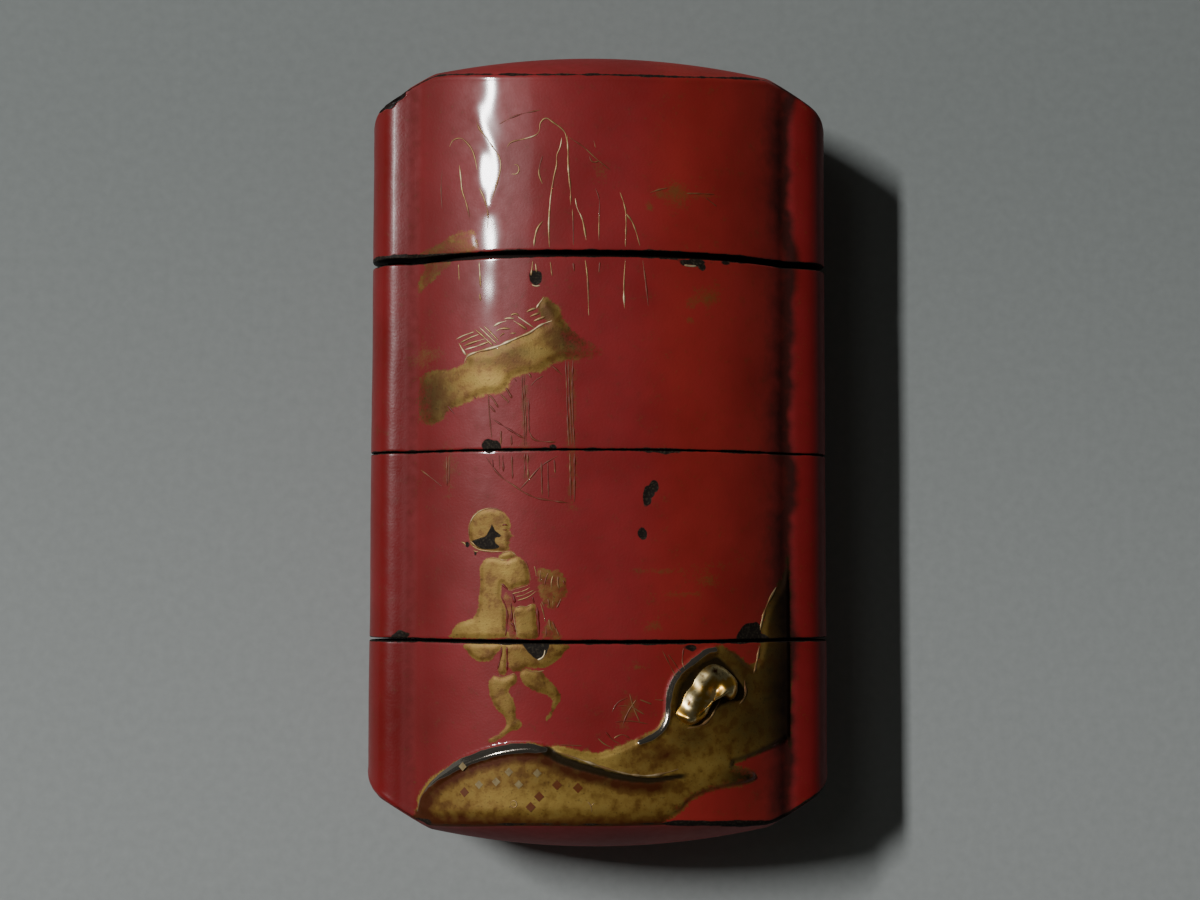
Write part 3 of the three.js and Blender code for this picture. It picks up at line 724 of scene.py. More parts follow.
def domeLayers(foot):  # from the side's last row, round the rim, to the pole
    first = 1 - case["rimRound"] / case["halfThickness"]
    rim = sheet(ring, domeY(ring, foot))
    start = rim - np.array([0, -case["rimRound"] if foot else case["rimRound"], 0])
    finish = sheet(ring * first, domeY(ring * first, foot))
    layers = [start * (1 - t) ** 2 + rim * 2 * t * (1 - t) + finish * t**2 for t in (0, 0.25, 0.5, 0.75, 1)]
    return layers + [sheet(ring * s, domeY(ring * s, foot)) for s in np.linspace(first, 0.03, 26)[1:]]


def seamLayers(y, up):  # a seam's rounded edge, from the side inwards
    layers = []
    for turn in np.linspace(0, math.pi / 2, 4):
        reach = case["seamRound"] * (1 - math.sin(turn))
        inset = case["seamRound"] * (1 - math.cos(turn))
        layers.append(sheet(insetRing(inset), y - reach if up else y + reach))
    return layers


def waviness(x, y):  # how far the hand-laid lacquer stands off the true form
    return 0.022 * ripple(x, y * 0.7, 3, 7) + 0.006 * ripple(x, y, 4, 2.5) - 0.07


absent = {"gold": -2.5, "silver": -2.5, "dark": -2.5, "wear": -5}  # a mark's value where it isn't laid
grooveLook = {  # mm across the case
    "valleyX": 20.8,
    "valleyHalfWidth": 1.15,
    "runnerFrom": 21,
    "runnerFull": 21.6,
    "dirtAndShadeX": 21.1,
}


def boxLayers(low, high):  # the rings of one box, from its low end over the outside to the inside
    layers, kinds = [], []  # kinds: 1 is the outside lacquer, 0 the inside

    def add(kind, *more):
        layers.extend(more)
        kinds.extend([kind] * len(more))

    def wall(points, start, finish, steps):  # start and finish may follow a dome
        add(0, *(sheet(points, start * (1 - t) + finish * t) for t in np.linspace(0, 1, steps)))

    if low is None:
        add(1, *domeLayers(True)[::-1])
        lowY = layers[-1][:, 1]
    elif high is None:
        room = [recessRing * s for s in np.linspace(0.04, 1, 14)]
        add(0, *(sheet(points, domeY(points, False, case["endWall"])) for points in room))
        wall(recessRing, layers[-1][:, 1] - 0.5, low, 12)
    else:
        add(0, *(sheet(recessRing * s, low + case["recessDepth"]) for s in (0.04, 0.35, 0.7, 1)))
        wall(recessRing, low + case["recessDepth"] - 0.5, low, 7)
    if low is not None:
        add(0, *(sheet(recessRing * (1 - t) + insetRing(case["seamRound"]) * t, low) for t in (0.35, 0.7)))
        add(1, *seamLayers(low, False)[::-1])
        lowY = np.full(len(ring), low + case["seamRound"])
    highY = domeLayers(False)[0][:, 1] if high is None else np.full(len(ring), high - case["seamRound"])
    rows = int((highY - lowY).mean() / case["rowHeight"])
    add(1, *(sheet(ring, lowY * (1 - t) + highY * t) for t in np.linspace(0, 1, rows + 1)[1:-1]))
    if high is None:
        add(1, *domeLayers(False))
    else:
        add(1, *seamLayers(high, True))
        add(0, *(sheet(insetRing(case["seamRound"]) * (1 - t) + riserRing * t, high) for t in (0.35, 0.7)))
        top = high + case["riserHeight"]
        wall(riserRing, high, top - 0.25, 6)
        for t, fall in ((0.03, 0.08), (0.2, 0), (0.8, 0), (0.97, 0.08)):
            add(0, sheet(riserRing * (1 - t) + cavityRing * t, top - fall))
        if low is None:
            ground = domeY(cavityRing, True, case["endWall"])
            wall(cavityRing, top - 0.25, ground + 0.4, 12)
            room = [cavityRing * s for s in np.linspace(1, 0.04, 14)]
            add(0, *(sheet(points, domeY(points, True, case["endWall"])) for points in room))
        else:
            ground = low + case["recessDepth"] + case["floor"]
            wall(cavityRing, top - 0.25, ground + 0.4, 10)
            add(0, *(sheet(cavityRing * s, ground) for s in (1, 0.7, 0.35, 0.04)))
    return np.stack(layers), np.array(kinds)


def joinRings(name, points, kinds):  # faces from ring to ring, with a cap at each end
    count = len(ring)
    verts = np.concatenate([points.reshape(-1, 3), [points[0].mean(0), points[-1].mean(0)]])
    index = np.arange(count)
    after = (index + 1) % count
    faces, slots = [], []
    for k in range(len(points) - 1):
        a, b = k * count, (k + 1) * count
        faces.append(np.stack([a + index, b + index, b + after, a + after], 1))
        slots.append(np.full(count, 0 if kinds[k] and kinds[k + 1] else 1))
    end = (len(points) - 1) * count
    caps = np.concatenate([
        np.stack([np.full(count, len(verts) - 2), index, after], 1),
        np.stack([end + index, np.full(count, len(verts) - 1), end + after], 1),
    ])
    slots += [np.full(count, 1 - kinds[0]), np.full(count, 1 - kinds[-1])]
    mesh = bpy.data.meshes.new(name)
    verts[:, 2] += case["halfThickness"]
    mesh.from_pydata((verts * mm).tolist(), [], np.concatenate(faces).tolist() + caps.tolist())
    mesh.polygons.foreach_set("material_index", np.concatenate(slots).astype(np.int32))
    mesh.polygons.foreach_set("use_smooth", np.ones(len(mesh.polygons), bool))
    return mesh


def layMarks(mesh, marks, outer, onFace):  # writes each mark to the mesh, the picture's on the face alone
    flat = np.concatenate([np.repeat(outer, len(ring)), [False, False]])
    for key, value in marks.items():
        away = absent.get(key, 0)
        if key in ("gold", "silver", "dark"):
            value = np.where(onFace.ravel(), value, away)
        full = np.full(len(mesh.vertices), away, np.float32)
        full[flat] = value
        mesh.attributes.new(key, "FLOAT", "POINT").data.foreach_set("value", full)


def makeShell(name, finishes):  # one box with its relief, and its marks as attributes
    low, high = boxes[name]
    points, kinds = boxLayers(low, high)
    count = len(ring)
    outer = kinds == 1
    x, y, z = (points[outer][..., i].copy() for i in range(3))
    rimLow = domeY(ring, True) if low is None else np.full(count, low - 1e3)
    rimHigh = domeY(ring, False) if high is None else np.full(count, high + 1e3)
    onFace = (z > 0.5) & (np.abs(z - frontReach(x)) < 0.5)
    marks = paint(x.ravel(), y.ravel())
    height = marks.pop("height").reshape(x.shape) * onFace
    height *= ease(0, 1.8, y - rimLow) * ease(0, 1.8, rimHigh - y)
    keep = ease(0, 1, y - rimLow) * ease(0, 1, rimHigh - y)
    normal = np.stack([outward[:, 0], np.zeros(count), outward[:, 1]], 1)[None]
    points[outer] += normal * (height + waviness(x, y) * keep)[..., None]

    marks["wear"] = edgeWear(x, y, low, high, rimLow, rimHigh).ravel()
    # grime in the grooves, with painted shade on the right groove
    marks["dirtAndShade"] = grooveDirtAndShade(x, y, z).ravel()
    valley = np.exp(-(((np.abs(x) - grooveLook["valleyX"]) / grooveLook["valleyHalfWidth"]) ** 4))
    runner = ease(grooveLook["runnerFrom"], grooveLook["runnerFull"], np.abs(x))
    ends = np.maximum(ease(0.3, -0.4, y - rimLow), ease(0.3, -0.4, rimHigh - y))
    marks["grime"] = np.maximum.reduce([valley, 0.8 * ease(23.4, 25.4, x), 0.95 * ends]).ravel()
    marks["matt"] = np.maximum.reduce([valley, 0.96 * runner, 0.95 * ends]).ravel()
    mesh = joinRings(name, points, kinds)
    layMarks(mesh, marks, outer, onFace)
    for finish in finishes:
        mesh.materials.append(finish)
    obj = addObject(name + "_shell", mesh)
    print("shell", name, len(mesh.polygons), "faces")
    return obj


def edgeWear(x, y, low, high, rimLow, rimHigh):  # how far inside the band where an edge has lost its red
    uneven = 0.03 * ripple(x, y * 0, 31, 1.6)
    left = ease(-14, -22, x)
    rows = [
        (y - rimLow, 0.08 + 0.26 * ease(6, 8, x) + uneven),
        (rimHigh - y, 0.14 + uneven),
    ]
    if low is not None:
        rows.append((y - low, 0.1 + uneven + (0.3 * left if low > 20 else 0)))
    if high is not None:
        rows.append((high - y, 0.1 + uneven))
    return np.maximum.reduce([reach - np.abs(off) for off, reach in rows])


def grooveDirtAndShade(x, y, z):  # dark grime in the grooves with painted shade added: most on the right of the front, the side turned from the lamps
    right = (x > 0) & (z > 0)
    sway = 0.3 * ripple(y, y * 0, 8, 6) + 0.16 * ripple(y, x * 0, 9, 1.5)
    off = np.abs(x) - grooveLook["dirtAndShadeX"] + np.where(right, sway, 0)
    reach = np.where(off > 0, 0.75, np.where(right, 2.0, 0.6))
    return np.exp(-((np.abs(off) / reach) ** 2.2)) * np.where(right, 0.92, 0.1)


def cutFrom(obj, cutter):  # takes the cutter out of a piece and removes it
    modifier = obj.modifiers.new("cut", "BOOLEAN")
    modifier.object = cutter
    modifier.solver = "MANIFOLD"
    whole = obj.evaluated_get(bpy.context.evaluated_depsgraph_get())
    mesh = bpy.data.meshes.new_from_object(whole)
    obj.modifiers.remove(modifier)
    old, obj.data = obj.data, mesh
    bpy.data.meshes.remove(old)
    bpy.data.objects.remove(cutter)


def makeChannels(inside):  # the two cord channels, as rods to cut with
    rods = bmesh.new()
    for side in (-1, 1):
        place = Matrix.Translation((side * case["channelX"] * mm, 0, case["halfThickness"] * mm))
        turned = place @ Matrix.Rotation(math.pi / 2, 4, "X")
        bmesh.ops.create_cone(
            rods, cap_ends=True, segments=40, depth=0.1, matrix=turned,
            radius1=case["channelRadius"] * mm, radius2=case["channelRadius"] * mm,
        )
    mesh = bpy.data.meshes.new("channels")
    rods.to_mesh(mesh)
    rods.free()
    mesh.materials.append(inside)
    return addObject("channels", mesh)


lostCorner = {
    "centre": (-23.9, 39.4, 3.6),  # mm
    "size": (2.4, 1.2, 1.8),  # half sizes, mm
    "tilt": 24,  # degrees
    "seed": 21,
}


def makeLostCorner(inside):  # a lump the shape of the lacquer lost from the lid's shoulder
    lump = bmesh.new()
    bmesh.ops.create_icosphere(lump, subdivisions=4, radius=1)
    for vert in lump.verts:
        x, y, z = vert.co
        vert.co *= 1 + 0.1 * float(ripple(x * 2 + z, y * 2 - z, lostCorner["seed"], 1.1))
    shape = Matrix.Diagonal([s * mm for s in lostCorner["size"]] + [1])
    x, y, z = lostCorner["centre"]
    place = Matrix.Translation((x * mm, y * mm, (z + case["halfThickness"]) * mm))
    lump.transform(place @ Matrix.Rotation(math.radians(lostCorner["tilt"]), 4, "Z") @ shape)
    mesh = bpy.data.meshes.new("lost corner")
    lump.to_mesh(mesh)
    lump.free()
    mesh.materials.append(inside)
    return addObject("lost corner", mesh)


strokeLook = {  # half width in mm, tone of the gold
    "roof edge": (0.13, 1.0),
    "roof ridge": (0.1, 0.85),
    "figure edge": (0.08, 0.6),
    "folds": (0.06, 0.45),
    "bundle": (0.08, 0.3),
    "hut": (0.09, -0.25),
    "back grass": (0.11, 0.6),
    "willow": (0.085, 0.7),
    "faint": (0.07, 0.0),
    "rock edge": (0.12, 0.7),
    "tongue": (0.1, 0.7),
    "ring": (0.06, 0.8),
    "face": (0.06, -0.9),
    # pale strokes that are painted highlights
    "painted glint": (0.08, 1.2),
    "red folds": (0.12, -1),
}


def strokeTree():  # sweeps a flattened round bead along each stroke, square to the surface
    tree = bpy.data.node_groups.new("brushed beads", "GeometryNodeTree")
    tree.interface.new_socket("Geometry", in_out="INPUT", socket_type="NodeSocketGeometry")
    sides = tree.interface.new_socket("Sides", in_out="INPUT", socket_type="NodeSocketInt")
    flatness = tree.interface.new_socket("Flatness", in_out="INPUT", socket_type="NodeSocketFloat")
    finish = tree.interface.new_socket("Finish", in_out="INPUT", socket_type="NodeSocketMaterial")
    tree.interface.new_socket("Geometry", in_out="OUTPUT", socket_type="NodeSocketGeometry")
    source = addNode(tree, "NodeGroupInput").outputs
    lines = addNode(tree, "GeometryNodeMeshToCurve", {"Mesh": source["Geometry"]}).outputs[0]
    values = {"Name": "facing"}
    facing = addNode(tree, "GeometryNodeInputNamedAttribute", values, data_type="FLOAT_VECTOR").outputs[0]
    values = {"Curve": lines, "Normal": facing}
    turned = addNode(tree, "GeometryNodeSetCurveNormal", values, mode="FREE").outputs[0]
    values = {"Resolution": source["Sides"], "Radius": 1.0}
    circle = addNode(tree, "GeometryNodeCurvePrimitiveCircle", values).outputs[0]
    squash = addNode(tree, "ShaderNodeCombineXYZ", {"X": source["Flatness"], "Y": 1.0, "Z": 1.0}).outputs[0]
    profile = addNode(tree, "GeometryNodeTransform", {"Geometry": circle, "Scale": squash}).outputs[0]
    values = {"Name": "halfWidth"}
    width = addNode(tree, "GeometryNodeInputNamedAttribute", values, data_type="FLOAT").outputs[0]
    values = {"Curve": turned, "Profile Curve": profile, "Scale": width, "Fill Caps": True}
    beads = addNode(tree, "GeometryNodeCurveToMesh", values).outputs[0]
    whole = addNode(tree, "GeometryNodeRealizeInstances", {"Geometry": beads}).outputs[0]
    values = {"Geometry": whole, "Material": source["Finish"]}
    painted = addNode(tree, "GeometryNodeSetMaterial", values).outputs[0]
    addNode(tree, "NodeGroupOutput", {"Geometry": painted})
    return tree, {"sides": sides.identifier, "flatness": flatness.identifier, "finish": finish.identifier}


strokeSet = {
    "spacing": 0.16,  # mm between points
    "gap": 0.3,  # mm left clear at a seam
    "sink": 0.04,  # mm, how much lower the strokes of the back are laid
    "sides": 8,
    "flatness": 0.5,  # thickness as a share of width
}


def onSurface(x, y, side=1):  # places on the lacquer in mm and their facing: side is -1 on the back
    slope = (frontReach(x + 0.05) - frontReach(x - 0.05)) / 0.1
    facing = np.stack([-slope, 0 * x, 1 + 0 * x], 1)
    facing /= np.linalg.norm(facing, axis=1)[:, None]
    place = np.stack([x, y, frontReach(x)], 1)
    onFront = np.array(side) > 0
    rise = paint(x, y)["height"] * onFront + waviness(x, y) - strokeSet["sink"] * ~onFront
    place += facing * rise[:, None]
    place[:, 2] *= side
    facing[:, 2] *= side
    place[:, 2] += case["halfThickness"]
    return place, facing


def makeStrokes(name, finish, tree, inputs):
    low, high = boxes[name]
    low = -math.inf if low is None else low + strokeSet["gap"]
    high = math.inf if high is None else high - strokeSet["gap"]
    paths, sides, widths, tones, edges = [], [], [], [], []
    first = 0
    for kind, lines in strokes.items():
        halfWidth, tone = strokeLook[kind]
        for number, line in enumerate(lines):
            path = smoothLine(line, strokeSet["spacing"])
            path = path[(path[:, 1] > low) & (path[:, 1] < high)]
            if len(path) < 3:
                continue
            x, y = path.T
            along = np.linspace(0, 1, len(x))
            taper = np.sqrt(np.clip(np.minimum(along, 1 - along) * 8, 0.05, 1))
            brush = 1 + 0.3 * ripple(x * 2, y * 2, number, 1.5)
            paths.append(path)
            sides.append(np.full(len(x), -1 if kind == "back grass" else 1))
            widths.append(halfWidth * mm * taper * np.clip(brush, 0.4, 1.6))
            tones.append(tone + 0.25 * ripple(x, y, 40 + number, 2))
            edges += [(first + i, first + i + 1) for i in range(len(x) - 1)]
            first += len(x)
    place, facing = onSurface(*np.concatenate(paths).T, np.concatenate(sides))
    mesh = bpy.data.meshes.new(name + "_strokes")
    mesh.from_pydata((place * mm).tolist(), edges, [])
    mesh.attributes.new("halfWidth", "FLOAT", "POINT").data.foreach_set("value", np.concatenate(widths))
    mesh.attributes.new("tone", "FLOAT", "POINT").data.foreach_set("value", np.concatenate(tones))
    mesh.attributes.new("facing", "FLOAT_VECTOR", "POINT").data.foreach_set("vector", facing.ravel())
    obj = addObject(name + "_strokes", mesh)
    modifier = obj.modifiers.new("beads", "NODES")
    modifier.node_group = tree
    modifier[inputs["sides"]] = strokeSet["sides"]
    modifier[inputs["flatness"]] = strokeSet["flatness"]
    modifier[inputs["finish"]] = finish
    bake(obj, True)
    return obj


def bake(obj, smooth):  # what the modifiers make becomes the plain mesh
    whole = obj.evaluated_get(bpy.context.evaluated_depsgraph_get())
    mesh = bpy.data.meshes.new_from_object(whole)
    obj.modifiers.clear()
    obj.data = mesh
    mesh.polygons.foreach_set("use_smooth", np.full(len(mesh.polygons), smooth))
    print(obj.name, len(mesh.polygons), "faces")


squareInlay = {  # squares of cut foil set in the bank, mm
    "brown": {
        "places": [(-14.8, -37.74), (-4.97, -36.73), (-6.85, -37.96), (-7.74, -39.07), (-2.75, -37.02)],
        "side": 0.78,
    },
    "silver": {
        "places": [(-14.91, -34.99), (-10.06, -35.41), (-13.23, -36.86), (-11.41, -36.49), (-9.01, -36.72),
                   (-7.07, -35.5)],
        "side": 0.68,
    },
    "thickness": 0.05,
    "turn": 45,  # degrees
}


def squareTree():  # sets one thin square on each point, square to the surface
    tree = bpy.data.node_groups.new("cut foil squares", "GeometryNodeTree")
    tree.interface.new_socket("Geometry", in_out="INPUT", socket_type="NodeSocketGeometry")
    side = tree.interface.new_socket("Side", in_out="INPUT", socket_type="NodeSocketFloat")
    thickness = tree.interface.new_socket("Thickness", in_out="INPUT", socket_type="NodeSocketFloat")
    turn = tree.interface.new_socket("Turn", in_out="INPUT", socket_type="NodeSocketFloat")
    finish = tree.interface.new_socket("Finish", in_out="INPUT", socket_type="NodeSocketMaterial")
    tree.interface.new_socket("Geometry", in_out="OUTPUT", socket_type="NodeSocketGeometry")
    source = addNode(tree, "NodeGroupInput").outputs
    values = {"X": source["Side"], "Y": source["Side"], "Z": source["Thickness"]}
    size = addNode(tree, "ShaderNodeCombineXYZ", values).outputs[0]
    foil = addNode(tree, "GeometryNodeMeshCube", {"Size": size}).outputs[0]
    values = {"Name": "facing"}
    facing = addNode(tree, "GeometryNodeInputNamedAttribute", values, data_type="FLOAT_VECTOR").outputs[0]
    upright = addNode(tree, "FunctionNodeAlignRotationToVector", {"Vector": facing}, axis="Z").outputs[0]
    values = {"Axis": (0, 0, 1), "Angle": source["Turn"]}
    spin = addNode(tree, "FunctionNodeAxisAngleToRotation", values).outputs[0]
    values = {"Rotation": upright, "Rotate By": spin}
    turned = addNode(tree, "FunctionNodeRotateRotation", values, rotation_space="LOCAL").outputs[0]
    values = {"Points": source["Geometry"], "Instance": foil, "Rotation": turned}
    copies = addNode(tree, "GeometryNodeInstanceOnPoints", values).outputs[0]
    whole = addNode(tree, "GeometryNodeRealizeInstances", {"Geometry": copies}).outputs[0]
    values = {"Geometry": whole, "Material": source["Finish"]}
    painted = addNode(tree, "GeometryNodeSetMaterial", values).outputs[0]
    addNode(tree, "NodeGroupOutput", {"Geometry": painted})
    return tree, {s.name: s.identifier for s in (side, thickness, turn, finish)}


def makeSquares(kind, finish, tree, inputs):
    x, y = np.array(squareInlay[kind]["places"]).T
    place, facing = onSurface(x, y)
    mesh = bpy.data.meshes.new(kind + "_squares")
    mesh.from_pydata((place * mm).tolist(), [], [])
    mesh.attributes.new("facing", "FLOAT_VECTOR", "POINT").data.foreach_set("vector", facing.ravel())
    obj = addObject(kind + "_squares", mesh)
    modifier = obj.modifiers.new("squares", "NODES")
    modifier.node_group = tree
    modifier[inputs["Side"]] = squareInlay[kind]["side"] * mm
    modifier[inputs["Thickness"]] = squareInlay["thickness"] * mm
    modifier[inputs["Turn"]] = math.radians(squareInlay["turn"])
    modifier[inputs["Finish"]] = finish
    bake(obj, False)
    return obj


def newFinish(name):  # a finish, its nodes, its shader and the place on the object
    material = bpy.data.materials.new(name)
    material.use_nodes = True
    tree = material.node_tree
    place = addNode(tree, "ShaderNodeTexCoord").outputs["Object"]
    return material, tree, tree.nodes["Principled BSDF"], place


# Red urushi lacquer, brushed on in coats and polished: a deep red under a clear glossy skin, with sprinkled
# gold pictures, silver rims, and black ground where the red has worn or chipped off
def makeLacquer():
    material, tree, shader, place = newFinish("polished red urushi lacquer")
    cloud = {}
    for name, size, detail in (("broad", 9, 3), ("fine", 1.1, 5), ("grain", 0.25, 2)):  # size in mm
        values = {"Vector": place, "Scale": 1 / (size * mm), "Detail": detail}
        cloud[name] = addNode(tree, "ShaderNodeTexNoise", values).outputs["Fac"]
    values = {0: cloud["fine"], 1: cloud["grain"]}
    cloud["speck"] = addNode(tree, "ShaderNodeMath", values, operation="ADD").outputs[0]

    mark = {}  # each painted mark, its edge broken up by a noise
    for name, noise, amount in (
        ("gold", "speck", 0.7), ("fade", "speck", -0.5), ("tone", "fine", 1.3), ("shade", "fine", 1.0),
        ("dust", "speck", 1.2), ("silver", "fine", 0.3), ("dark", "fine", 0.4), ("wear", "fine", 0.3),
        ("dirtAndShade", "fine", 0.5), ("sideShadeAndLight", "broad", 0.6),
    ):
        value = addNode(tree, "ShaderNodeAttribute", attribute_name=name).outputs["Fac"]
        values = {0: cloud[noise], 1: amount, 2: value}
        mark[name] = addNode(tree, "ShaderNodeMath", values, operation="MULTIPLY_ADD").outputs[0]

    # Coats of colour, each over the last: what shows it, where it starts and is full, how thick, its colour
    coats = {
        "red": ("#a22c30", [
            (cloud["broad"], 0.35, 0.65, 1, "#962525"), (cloud["fine"], 0.3, 0.75, 0.25, "#801b18"),
            # painted shade and painted light from the side mark: darker red at the left and the right
            # runner, brighter red on the right of the face
            (mark["sideShadeAndLight"], 0.3, 1.1, 0.7, "#741a18"), (mark["sideShadeAndLight"], 0.3, -0.05, 0.3, "#c43a22"),
            (mark["dust"], 1.4, 2.1, 0.7, "#7c5426"),
        ]),
        "gold": ("#5a2c12", [
            (mark["tone"], 0.6, 1.15, 1, "#83602a"), (mark["tone"], 1.05, 1.65, 1, "#b9994c"),
            (cloud["grain"], 0.6, 0.72, 0.5, "#4e3514"), (mark["shade"], 0.5, 1.5, 1, "#30240f"),
        ]),
    }
    colour = {}
    for name, (ground, layers) in coats.items():
        colour[name] = toLinear(ground)
        for value, start, full, strength, code in layers:
            values = {"Value": value, 1: start, 2: full, 4: strength}
            amount = addNode(tree, "ShaderNodeMapRange", values).outputs[0]
            values = {0: amount, 6: colour[name], 7: toLinear(code)}
            colour[name] = addNode(tree, "ShaderNodeMix", values, data_type="RGBA").outputs[2]

    shown = {}  # how much of each finish shows
    for name, start, full in (
        ("gold", 0.56, 0.82), ("fade", 0.2, -0.25), ("silver", 0.13, 0.22), ("dark", 0.18, 0.26),
        ("wear", 0.13, 0.19),
    ):
        values = {"Value": mark[name], 1: start, 2: full}
        shown[name] = addNode(tree, "ShaderNodeMapRange", values).outputs[0]
    values = {0: shown["gold"], 1: shown["fade"]}
    gold = addNode(tree, "ShaderNodeMath", values, operation="MULTIPLY").outputs[0]
    values = {0: shown["dark"], 1: shown["wear"]}
    bare = addNode(tree, "ShaderNodeMath", values, operation="MAXIMUM").outputs[0]
    # dark brown of the grooves: grime, and painted shade on the right groove, which is turned from the
    # lamps
    dirtAndShade = addNode(tree, "ShaderNodeMapRange", {"Value": mark["dirtAndShade"], 1: 0.3, 2: 1.15, 4: 0.88}).outputs[0]
    stone = addNode(tree, "ShaderNodeMapRange", {"Value": cloud["grain"], 1: 0.5, 2: 0.7}).outputs[0]
    ground = {0: stone, 6: toLinear("#1e150e"), 7: toLinear("#40382a")}
    ground = addNode(tree, "ShaderNodeMix", ground, data_type="RGBA").outputs[2]
    final = colour["red"]
    for amount, top in (
        (gold, colour["gold"]), (shown["silver"], toLinear("#8b8378")), (bare, ground),
        (dirtAndShade, toLinear("#26150e")),
    ):
        final = addNode(tree, "ShaderNodeMix", {0: amount, 6: final, 7: top}, data_type="RGBA").outputs[2]

    values = {"Value": cloud["fine"], 1: 0.3, 2: 0.7, 3: 0.44, 4: 0.52}
    rough = addNode(tree, "ShaderNodeMapRange", values).outputs[0]
    worn = {}
    for name in ("grime", "matt"):
        worn[name] = addNode(tree, "ShaderNodeAttribute", attribute_name=name).outputs["Fac"]
    for amount, change in (
        (shown["silver"], -0.34), (bare, 0.3), (worn["grime"], 0.35), (worn["matt"], -0.15)
    ):
        values = {0: amount, 1: change, 2: rough}
        rough = addNode(tree, "ShaderNodeMath", values, operation="MULTIPLY_ADD").outputs[0]
    gilt = addNode(tree, "ShaderNodeMath", {0: gold, 1: 0.35}, operation="MULTIPLY").outputs[0]
    values = {0: shown["silver"], 1: 0.85}
    silvered = addNode(tree, "ShaderNodeMath", values, operation="MULTIPLY").outputs[0]
    metal = addNode(tree, "ShaderNodeMath", {0: gilt, 1: silvered}, operation="MAXIMUM").outputs[0]
    covered = addNode(tree, "ShaderNodeMath", {0: 1.0, 1: bare}, operation="SUBTRACT").outputs[0]
    metal = addNode(tree, "ShaderNodeMath", {0: metal, 1: covered}, operation="MULTIPLY").outputs[0]
    dull = addNode(tree, "ShaderNodeMath", {0: gold, 1: bare}, operation="MAXIMUM").outputs[0]
    dull = addNode(tree, "ShaderNodeMath", {0: dull, 1: worn["matt"]}, operation="MAXIMUM").outputs[0]
    skin = addNode(tree, "ShaderNodeMapRange", {"Value": dull, 3: 1.0, 4: 0.0}).outputs[0]
    height = {"Strength": 0.18, "Distance": 0.00006, "Height": cloud["speck"]}
    bump = addNode(tree, "ShaderNodeBump", height).outputs[0]
    for key, value in (
        ("Base Color", final), ("Roughness", rough), ("Metallic", metal), ("Coat Weight", skin),
        ("Normal", bump),
    ):
        tree.links.new(value, shader.inputs[key])
    shader.inputs["IOR"].default_value = 1.38
    shader.inputs["Coat Roughness"].default_value = 0.1
    return material


# Gold powder sprinkled on a line of wet lacquer: a fine raised bead that catches the light along its crest
def makeGoldLine():
    material, tree, shader, place = newFinish("sprinkled gold line")
    values = {"Vector": place, "Scale": 3000.0, "Detail": 2.0}
    grain = addNode(tree, "ShaderNodeTexNoise", values).outputs["Fac"]
    tone = addNode(tree, "ShaderNodeAttribute", attribute_name="tone").outputs["Fac"]
    values = {0: grain, 1: 0.7, 2: tone}
    mixed = addNode(tree, "ShaderNodeMath", values, operation="MULTIPLY_ADD").outputs[0]
    colour = toLinear("#7a1d14")
    for start, full, code in ((-0.5, 0.2, "#84402a"), (0.3, 1.1, "#aa8858"), (1.1, 1.7, "#e4cea4")):
        amount = addNode(tree, "ShaderNodeMapRange", {"Value": mixed, 1: start, 2: full, 4: 1}).outputs[0]
        values = {0: amount, 6: colour, 7: toLinear(code)}
        colour = addNode(tree, "ShaderNodeMix", values, data_type="RGBA").outputs[2]
    tree.links.new(colour, shader.inputs["Base Color"])
    metallic = addNode(tree, "ShaderNodeMapRange", {"Value": mixed, 1: 0.3, 2: 1.1, 4: 0.55}).outputs[0]
    tree.links.new(metallic, shader.inputs["Metallic"])
    shader.inputs["Roughness"].default_value = 0.48
    return material


# Plain dark brown lacquer inside the boxes, polished less: nearly black in the gaps
def makeInside():
    material, tree, shader, place = newFinish("dark brown urushi lacquer")
    values = {"Vector": place, "Scale": 400.0, "Detail": 4.0}
    cloud = addNode(tree, "ShaderNodeTexNoise", values).outputs["Fac"]
    values = {0: cloud, 6: toLinear("#120907"), 7: toLinear("#2a1209")}
    colour = addNode(tree, "ShaderNodeMix", values, data_type="RGBA").outputs[2]
    tree.links.new(colour, shader.inputs["Base Color"])
    shader.inputs["Roughness"].default_value = 0.6
    return material


# Cut foil under a thin coat of lacquer: flat, a little shiny, one tone to a square
def makeFoil(name, code, metallic):
    material, tree, shader, place = newFinish(name)
    values = {"Vector": place, "Scale": 1800.0, "Detail": 3.0}
    cloud = addNode(tree, "ShaderNodeTexNoise", values).outputs["Fac"]
    values = {0: cloud, 6: toLinear(code), 7: toLinear("#6a4a22")}
    colour = addNode(tree, "ShaderNodeMix", values, data_type="RGBA").outputs[2]
    tree.links.new(colour, shader.inputs["Base Color"])
    shader.inputs["Metallic"].default_value = metallic
    shader.inputs["Roughness"].default_value = 0.4
    return material


# Polished silver with a gilt wash, tarnished in patches: mirror-like with warm glints
def makePebbleMetal():
    material, tree, shader, place = newFinish("polished parcel-gilt silver")
    values = {"Vector": place, "Scale": 700.0, "Detail": 4.0}
    cloud = addNode(tree, "ShaderNodeTexNoise", values).outputs["Fac"]
    colour = toLinear("#e4b04c")
    for start, full, code in ((0.44, 0.56, "#fbe3a8"), (0.6, 0.7, "#6e4016")):
        amount = addNode(tree, "ShaderNodeMapRange", {"Value": cloud, 1: start, 2: full, 4: 1}).outputs[0]
        values = {0: amount, 6: colour, 7: toLinear(code)}
        colour = addNode(tree, "ShaderNodeMix", values, data_type="RGBA").outputs[2]
    tree.links.new(colour, shader.inputs["Base Color"])
    shader.inputs["Metallic"].default_value = 1
    shader.inputs["Roughness"].default_value = 0.34
    return material


